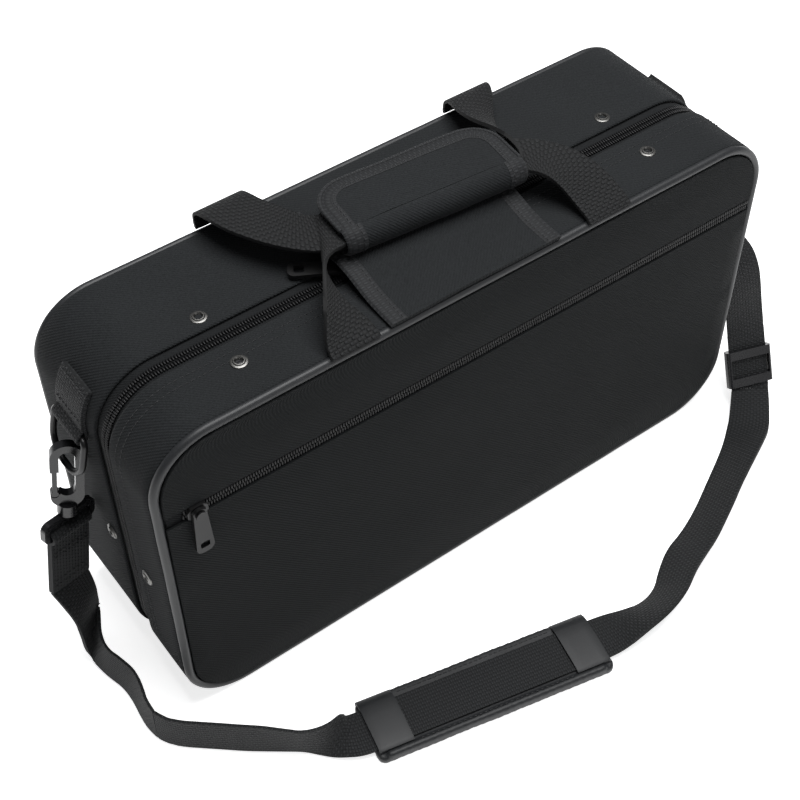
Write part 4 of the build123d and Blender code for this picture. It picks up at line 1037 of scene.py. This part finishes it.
for name, body in (("front", "lid"), ("back", "base")):
    stations = [(x, y, HIGH + lift, turn, tilt) for x, y, lift, turn, tilt in handle_routes[name]]
    centre, rows = band(stations, HANDLE_WIDTH)
    mesh = bmesh.new()
    add_sheet(mesh, centred(rows, HANDLE_THICK), HANDLE_THICK, edge=0.4)
    handle = finish_mesh(f"{name}_handle", mesh, handle_weave, body)
    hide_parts(f"{name}_handle_webbing")
    centre[0] * MM
    lengths(centre)[-1] * MM
    [p * MM for p in centre]
    print(handle.name, round(lengths(centre)[-1]), "mm long")

# %% [markdown]
# ## Closure flap
# A flap of padded cloth is sewn into the front seam, goes over the zipper between the handle's ends and is
# held down on a patch of loops. Its two side edges are bound in ribbed tape, with a row of stitches beside
# each.

# %% Closure flap and patch
FLAP_X, FLAP_WIDTH, FLAP_THICK, FLAP_LIFT, BORDER = -6.0, 102.0, 1.8, 6.6, 9.0
on_case = HIGH + 0.2 + FLAP_THICK / 2
on_patch = on_case + 0.9 + 0.6
flap_stations = [(FLAP_X, y, z, 0, 0) for y, z in (
    (FRONT + 0.9, on_case), (-41, on_case + 0.2), (-29, on_case + FLAP_LIFT / 2), (-18, on_case + FLAP_LIFT),
    (-4, on_case + FLAP_LIFT), (7, on_case + 0.67 * FLAP_LIFT), (15, on_patch), (33, on_patch))]
_, flap_rows = band(flap_stations, FLAP_WIDTH, lanes=28, steps=6)
flap_rows = [
    [p + Vector((0, 0, sag(p, 0.5, 30) + 0.7 * sin(pi * lane / 28))) for p in row]
    for lane, row in enumerate(flap_rows)
]
flap_rows = centred(flap_rows[::-1], FLAP_THICK)
flap_mesh = bmesh.new()
flap_out = add_sheet(flap_mesh, flap_rows, FLAP_THICK, edge=0.5)
flap = finish_mesh("flap", flap_mesh, case_cloth, "lid")
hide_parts("closure_flap")
flap_wide = lengths([row[len(row) // 2] for row in flap_rows])[-1]
flap_long = lengths(flap_rows[len(flap_rows) // 2])[-1]
print("flap", round(flap_wide), "x", round(flap_long), "mm")

# %% [markdown]
# ## Bound edges
# Cut edges of thick cloth fray, so they are bound in ribbed tape: a strip folded over the edge, a little proud
# of the cloth, with a row of stitches along its inner side. The tape is a sheet between two lines on the
# cloth, so one helper binds any edge.

# %% Binding
binding = webbing("binding", 0.0014, 0.003, (0.009, 0.0095, 0.0105), (0.030, 0.032, 0.0345), 0.0003)


def bind(name, outer, inner, out, body, proud=0.55):
    """A ribbed tape between two lines on a surface, proud of it, with stitches along its inner side."""
    rows = []
    for share, lift in ((-0.06, -0.9), (0, 0.1), (0.1, 1), (0.5, 1), (0.9, 0.95), (1, 0.35)):
        rows.append([a.lerp(b, share) + n * (proud * lift) for a, b, n in zip(outer, inner, out)])
    if normals_of(rows, False)[2][len(outer) // 2].dot(out[len(outer) // 2]) < 0:
        rows = rows[::-1]
    piece = sheet_piece(name, rows, 0.5, binding, body, edge=0)
    seam = [a.lerp(b, 0.80) + n * proud for a, b, n in zip(outer, inner, out)]
    stitches(f"{name}_stitches", [(seam, out)], body)


for name, edge, inward in (("left", -1, BORDER), ("right", 0, -BORDER)):
    inner = [p + Vector((inward, 0, 0)) for p in flap_rows[edge]]
    bind(f"flap_binding_{name}", flap_rows[edge], inner, flap_out[edge], "lid")
print("flap bound on both long edges")

# %% [markdown]
# ## The grip's roll
# The grip is a padded wrap that closes over both webbings. Its roll is one curved sheet whose section is half
# a circle with a flat tail. Foam swells it in the middle, and it pulls in at the bound ends.

# %% Grip roll
GRIP_LONG, GRIP_CLOTH, GRIP_TURN, GRIP_LOW = 102.0, 2.0, -4.5, HIGH + 9.6
ROLL, ROLL_OFF, WRAP_REACH = 6.95, -9.5, 17.0
grip_along, grip_across = heading(GRIP_TURN), heading(90 + GRIP_TURN)
grip_middle = Vector((0, -4, GRIP_LOW))


def on_grip(along, across, up):
    """A point in the grip's own frame: along it, across it and up from its underside."""
    return grip_middle + grip_along * along + grip_across * across + Vector((0, 0, up))


def puff(along):
    """How far padding swells at a place along the grip, from 0 at its ends to 1."""
    return max(0, 1 - abs(along / (GRIP_LONG / 2)) ** 4)


reaches = [GRIP_LONG * (k / 30 - 0.5) for k in range(31)]
profile = [(WRAP_REACH - (WRAP_REACH - ROLL_OFF) * k / 6, 0, 0) for k in range(7)]
profile += [(ROLL_OFF + ROLL * cos(a), ROLL + ROLL * sin(a), 1 if 2 < k < 16 else 0.4)
            for k, a in enumerate(-pi / 2 - pi * k / 17 for k in range(1, 18))]
wrap_rows = []
for across, up, swell in profile:
    way = Vector((across - ROLL_OFF, up - ROLL)).normalized() if swell else Vector((0, -1))
    row = []
    for along in reaches:
        grow = swell * (1.1 * puff(along) + sag(Vector((along, across, up)), 0.5, 22))
        row.append(on_grip(along, across + way.x * grow, up + way.y * grow))
    wrap_rows.append(row)
mesh = bmesh.new()
wrap_out = add_sheet(mesh, wrap_rows, GRIP_CLOTH, edge=0.6)
wrap = finish_mesh("grip_roll", mesh, case_cloth, "lid")
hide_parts("grip_wrap")
for name, near, far in (("left", 0, 3), ("right", -1, -4)):
    ends = [(row[near], row[far], ways[near]) for row, ways in zip(wrap_rows[6:], wrap_out[6:])]
    bind(f"roll_binding_{name}", *map(list, zip(*ends)), "lid")

# %% [markdown]
# ## The grip's flap
# The part of the grip that opens has two rounded back corners. Its height is a function of the place on it,
# so the cloth, its bound rim and the line of the binding's inner edge all come from the same surface.

# %% Grip flap
GRIP_DEEP, GRIP_ROUND, FLAP_FROM = 33.0, 17.0, -9.3
SQUARE, MIDDLE = GRIP_DEEP - GRIP_ROUND, GRIP_LONG / 2 - GRIP_ROUND


def on_flap(along, depth):
    """A point on the flap's upper face: along the grip, and its depth back from the front fold."""
    across, share = FLAP_FROM + depth, abs(along) / (GRIP_LONG / 2)
    swell = 1.7 * (1 - share ** 5) * sin(pi * min(1, (depth + 4.5) / (GRIP_DEEP + 4)) * 0.92)
    droop = 0.9 * max(0, (across - 8) / 15) ** 2 + 0.9 * share ** 6
    return on_grip(along, across, 2 * ROLL + swell - droop + sag(Vector((along, across, 9)), 0.5, 24))


def flap_side(inset=0.0):
    """Points (along, depth) up the flap's right end and round its back corner, inset from its edge."""
    points = [(GRIP_LONG / 2 - inset, SQUARE * k / 9) for k in range(9)]
    radius = GRIP_ROUND - inset
    for k in range(13):
        angle = pi / 2 * k / 12
        points.append((MIDDLE + radius * cos(angle), SQUARE + radius * sin(angle)))
    return points


def flap_rim(inset=0.0):
    """The whole rim at an inset: up the left end, along the back and down the right end."""
    right = flap_side(inset)
    back = [(MIDDLE * (k / 8 - 1), GRIP_DEEP - inset) for k in range(1, 16)]
    return [on_flap(*point) for point in [(-x, depth) for x, depth in right] + back + right[::-1]]


flap_grid = [[on_flap(half * (n / 17 - 1), depth) for n in range(35)] for half, depth in flap_side()]
mesh = bmesh.new()
add_sheet(mesh, flap_grid, GRIP_CLOTH, edge=0.6)
grip_top = finish_mesh("grip_top", mesh, case_cloth, "grip_flap")
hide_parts("grip_flap")
outer = flap_rim()
upwards = [UPWARDS] * len(outer)
bind("grip_binding", outer, flap_rim(8.0), upwards, "grip_flap")
mesh = bmesh.new()
tube(mesh, outer, upwards, 1.25, 8)
finish_mesh("grip_edge", mesh, binding, "grip_flap", sharp=180)
print("grip", round(GRIP_LONG), "x", round(GRIP_DEEP), "mm")

# %% [markdown]
# ## Ring tabs and D rings
# A doubled strip of webbing holds each D ring. It comes down over the shoulder of the case, turns round the
# ring's bar and goes back up under itself, and two rows of stitches close the loop.

# %% Tabs and rings
TAB_WIDTH, TAB_THICK, TAB_WRAP, RING_WIRE = 25.0, 1.4, 37.0, 1.75
BAR_X, BAR_Z = LONG / 2 + TAB_THICK + RING_WIRE + 0.35, 168.0
RING_HALF, RING_DEEP, RING_CORNER, RING_BOW = 15.0, 25.5, 3.0, 12.5
SHOULDER_X, SHOULDER_Z = LONG / 2 - CORNER, HIGH - CORNER


def tab_path():
    """The strip's outward face, in distance from the middle and height: down, round the bar and up again."""
    over, under = CORNER + 0.1 + 2 * TAB_THICK, CORNER + 0.15
    path = [(SHOULDER_X + over * cos(a), SHOULDER_Z + over * sin(a))
            for a in (radians(TAB_WRAP) * (1 - k / 8) for k in range(9))]
    turn = RING_WIRE + 0.15 + TAB_THICK
    path += [(BAR_X + turn * cos(a), BAR_Z + turn * sin(a))
             for a in (radians(48 - 218 * k / 16) for k in range(17))]
    path += [(SHOULDER_X + under, BAR_Z + 2)]
    path += [(SHOULDER_X + under * cos(a), SHOULDER_Z + under * sin(a))
             for a in (radians(TAB_WRAP) * k / 8 for k in range(9))]
    return path


def ring_line(side, tilt):
    """The wire's centreline: a straight bar, two legs and a bow, hanging in by tilt degrees."""
    spots = []
    corners = ((RING_HALF, 0, RING_CORNER, 90), (RING_HALF, RING_DEEP, RING_BOW, 0),
               (-RING_HALF, RING_DEEP, RING_BOW, -90), (-RING_HALF, 0, RING_CORNER, 180))
    for across, down, radius, first in corners:
        hub = (across - radius * (1 if across > 0 else -1), down - radius * (1 if down > 0 else -1))
        spots += [(hub[0] + radius * cos(a), hub[1] - radius * sin(a))
                  for a in (radians(first - 90 * k / 8) for k in range(9))]
    lean = radians(tilt)
    return [Vector((side * (BAR_X + down * sin(lean)), RING_Y + across, BAR_Z - down * cos(lean)))
            for across, down in spots]


for hand, side, tilt in (("left", -1, 14.7), ("right", 1, 34.0)):
    rows = [[Vector((side * x, RING_Y + side * lane * TAB_WIDTH, z)) for x, z in tab_path()]
            for lane in LANES]
    mesh = bmesh.new()
    out = add_sheet(mesh, rows, TAB_THICK, edge=0.35)
    tab = finish_mesh(f"{hand}_tab", mesh, strap_weave, "base")
    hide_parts(f"{hand}_ring_tab")
    seams = []
    for k in (1, 6, 8):
        ends = [rows[n][k] + out[n][k] * 0.1 for n in (0, -1)]
        seams.append(([ends[0].lerp(ends[1], 0.04 + 0.92 * n / 6) for n in range(7)], [out[2][k]] * 7))
    stitches(f"{hand}_tab_stitches", seams, "base", pitch=2.6)
    line = ring_line(side, tilt)
    ways = [Vector((side, 0, 0))] * len(line)
    mesh = bmesh.new()
    tube(mesh, line, ways, RING_WIRE, 14, loop=True)
    ring = finish_mesh(f"{hand}_ring_wire", mesh, wire_black, f"{hand}_ring", sharp=180)
    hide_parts(f"{hand}_d_ring")
    print(hand, "ring", round(lengths(line, True)[-1]), "mm of wire")

# %% [markdown]
# ## Strap-end stitching
# The doubled ends are sewn through with rows of stitches across the webbing. The rows lie in pairs: one near
# the eye, to close the loop, and one near the cut end, to hold it down.

# %% Strap-end stitches
for hand in ("left", "right"):
    bar, flat, up, bar_way = hangs[hand]
    seams = []
    for face in (1, -1):
        for down in (12, 15, 33, 37):
            centre = bar - up * down + flat * (face * (STRAP_THICK + 0.15))
            line = [centre + bar_way * (STRAP_WIDTH * s) for s in (-0.46, -0.2, 0.1, 0.46)]
            seams.append((line, [flat * face] * 4))
    stitches(f"{hand}_end_stitches", seams, f"{hand}_ring", pitch=2.6)
print("strap ends sewn")

# %% [markdown]
# ## Shoulder pad
# The pad is a slab of foam in smooth vinyl, a little fat in the middle, with a raised lip along its front
# edge. Its outline comes from the solid: the mesh is rebuilt from small voxels, smoothed and swollen, which
# rounds every edge as stuffing does. Voxels are used because they don't care how the solid was meshed.


# %% Softened solids
def softened(name, node, body, look, voxel, smooth, swell, lumps, size):
    """A soft copy of a CAD solid: voxel remesh, smoothing, then a swelling along its normals."""
    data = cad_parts[node].data.copy()
    piece = bpy.data.objects.new(name, data)
    bpy.context.collection.objects.link(piece)
    remesh = piece.modifiers.new("voxels", "REMESH")
    remesh.mode, remesh.voxel_size = "VOXEL", voxel * MM
    relax = piece.modifiers.new("relax", "SMOOTH")
    relax.factor, relax.iterations = 0.5, smooth
    bpy.context.view_layer.update()
    baked = bpy.data.meshes.new_from_object(piece.evaluated_get(bpy.context.evaluated_depsgraph_get()))
    piece.modifiers.clear()
    piece.data = baked
    bpy.data.meshes.remove(data)
    moves = [v.normal * (swell + sag(v.co / MM, lumps, size)) * MM for v in baked.vertices]
    for vertex, move in zip(baked.vertices, moves):
        vertex.co += move
        vertex.co.z = max(vertex.co.z, 0)
    baked.name = name
    baked.materials.clear()
    baked.materials.append(look.material)
    baked.shade_smooth()
    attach(piece, body)
    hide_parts(node)
    print(name, len(baked.vertices), "points")
    return piece


pad = softened("pad", "shoulder_pad", "pad", pad_vinyl, 1.0, 6, 0.5, 0.25, 18)

# %% [markdown]
# ## Pad sleeves
# Two sleeves of the same vinyl hold the pad on the strap. Each is a strip that rises from the back edge, lies
# over the webbing and comes down over the lip, so it is drawn by that section.

# %% Pad sleeves and stitching
pad_across = heading(90 + PAD_TURN)
SLEEVE, SLEEVE_TOP = 20.0, PAD_THICK + 0.6 + STRAP_THICK + 0.9


def on_pad_at(along, across, up):
    """A point in the pad's own frame."""
    return pad_middle + pad_along * along + pad_across * across + Vector((0, 0, up))


sleeve_path = (
    (-15.2, 4.6), (-14.9, 6.4), (-13.9, SLEEVE_TOP - 0.25), (-12, SLEEVE_TOP), (-6, SLEEVE_TOP + 0.3),
    (0, SLEEVE_TOP + 0.35), (6, SLEEVE_TOP + 0.3), (12, SLEEVE_TOP), (14, SLEEVE_TOP - 0.4), (15.6, 6.2),
    (17.2, 5.1), (18.6, 4.3), (19.3, 2.8), (19.4, 1.2))
mesh = bmesh.new()
for end in (-1, 1):
    middle = end * (PAD_LENGTH / 2 - SLEEVE / 2 - 1.0)
    rows = [[on_pad_at(middle + s * SLEEVE, across, up) for s in LANES] for across, up in sleeve_path]
    add_sheet(mesh, rows, 1.0, edge=0.3)
sleeves = finish_mesh("pad_sleeves", mesh, pad_vinyl, "pad")
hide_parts("pad_keepers")
seams = []
for across, up in ((-15.9, PAD_THICK + 2.9), (15.6, PAD_THICK + 0.7)):
    line = [on_pad_at(PAD_LENGTH / 2 * s, across, up) for s in (-0.66, -0.3, 0, 0.3, 0.66)]
    seams.append((line, [UPWARDS] * 5))
stitches("pad_stitches", seams, "pad", pitch=3.0)
print("pad has two sleeves")

# %% [markdown]
# ## Lining
# Inside, the insert and the lid's padding are foam under short plush. They are softened solids as well, with
# coarser voxels, and a sheen that plush shows at its edges.

# %% Plush insert and lid padding
insert = softened("insert", "instrument_insert", "base", lining, 2.2, 5, 0.0, 0.5, 24)
lid_pad = softened("lid_pad", "lid_padding", "lid", lining, 2.2, 5, 0.0, 0.5, 24)

# %% [markdown]
# ## Loop patch
# The closure flap holds on a patch of soft loops sewn to the top. The patch is a thin sheet, a little fat in
# the middle, with a row of stitches near each long edge.

# %% Loop patch
PATCH_LONG, PATCH_WIDE, PATCH_Y = 88, 16, 23


def on_patch_at(share, lane, inset, up):
    """A point on the patch, from its shares along and across it."""
    return Vector((FLAP_X + (PATCH_LONG - 2 * inset) * share, PATCH_Y + PATCH_WIDE * lane, HIGH + up))


patch_rows = [[on_patch_at(k / 16 - 0.5, s, 0, 0.9 + 0.25 * (1 - abs(s) * 2)) for k in range(17)]
              for s in LANES]
patch = sheet_piece("loop_patch", patch_rows, 0.9, lining, "base", edge=0.25)
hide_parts("closure_loop_patch")
seams = [([on_patch_at(k / 16 - 0.5, s, 2, 1.0) for k in range(17)], [UPWARDS] * 17) for s in (-0.42, 0.42)]
stitches("patch_stitches", seams, "base")
print("patch under the closure flap")

# %% [markdown]
# ## Hard parts
# Sliders, pulls, swivel eyes, hooks, gates and the adjuster keep their solids. Each gets its finish and a
# small bevel, because moulded plastic and die-cast metal have no razor edges.

# %% Finishes of the hard parts
hard_parts = {
    "snap_hook": (hardware, 1.25), "hook_gate": (hardware, 0.5), "swivel_eye": (hardware, 1.0),
    "zipper_slider": (zipper_black, 0.35), "zipper_pull": (zipper_black, 0.5),
    "strap_adjuster": (hardware, 0.6), "frame": (board, 0.3),
}
for name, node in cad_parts.items():
    for part, (look, bevel) in hard_parts.items():
        if name.endswith(part):
            node.data.materials.clear()
            node.data.materials.append(look.material)
            edge = node.modifiers.new("soft edges", "BEVEL")
            edge.width, edge.segments, edge.angle_limit = bevel * MM, 3, radians(45)
            print(name, "in", look.material.name)

# %% [markdown]
# ## Seams of the lid and the pocket
# Two rows of stitches run round the lid beside the zipper, where the tape is sewn to the cloth. The pocket's
# zipper has one row above it and one below.

# %% Stitch rows
seams = []
for y in (-24.8, -29.3):
    line, ways = [], []
    for t in stops(ZIP_START, AROUND - ZIP_START, 4, 2):
        point, out = outline(t)
        point.y = y
        line.append(point + out * (sag(point, 0.5, 60.0) + 0.05))
        ways.append(out)
    seams.append((line, ways))
stitches("lid_stitches", seams, "lid", thick=0.4)
seams = []
for side in (-1, 1):
    z = POCKET_ZIP + side * (POCKET_SLIT / 2 + 2.2)
    seams.append(([Vector((x, FRONT + 0.25, z)) for x in range(-180, 181, 6)], [FORWARDS] * 61))
stitches("pocket_stitches", seams, "lid", thick=0.4)
print("zipper seams sewn")
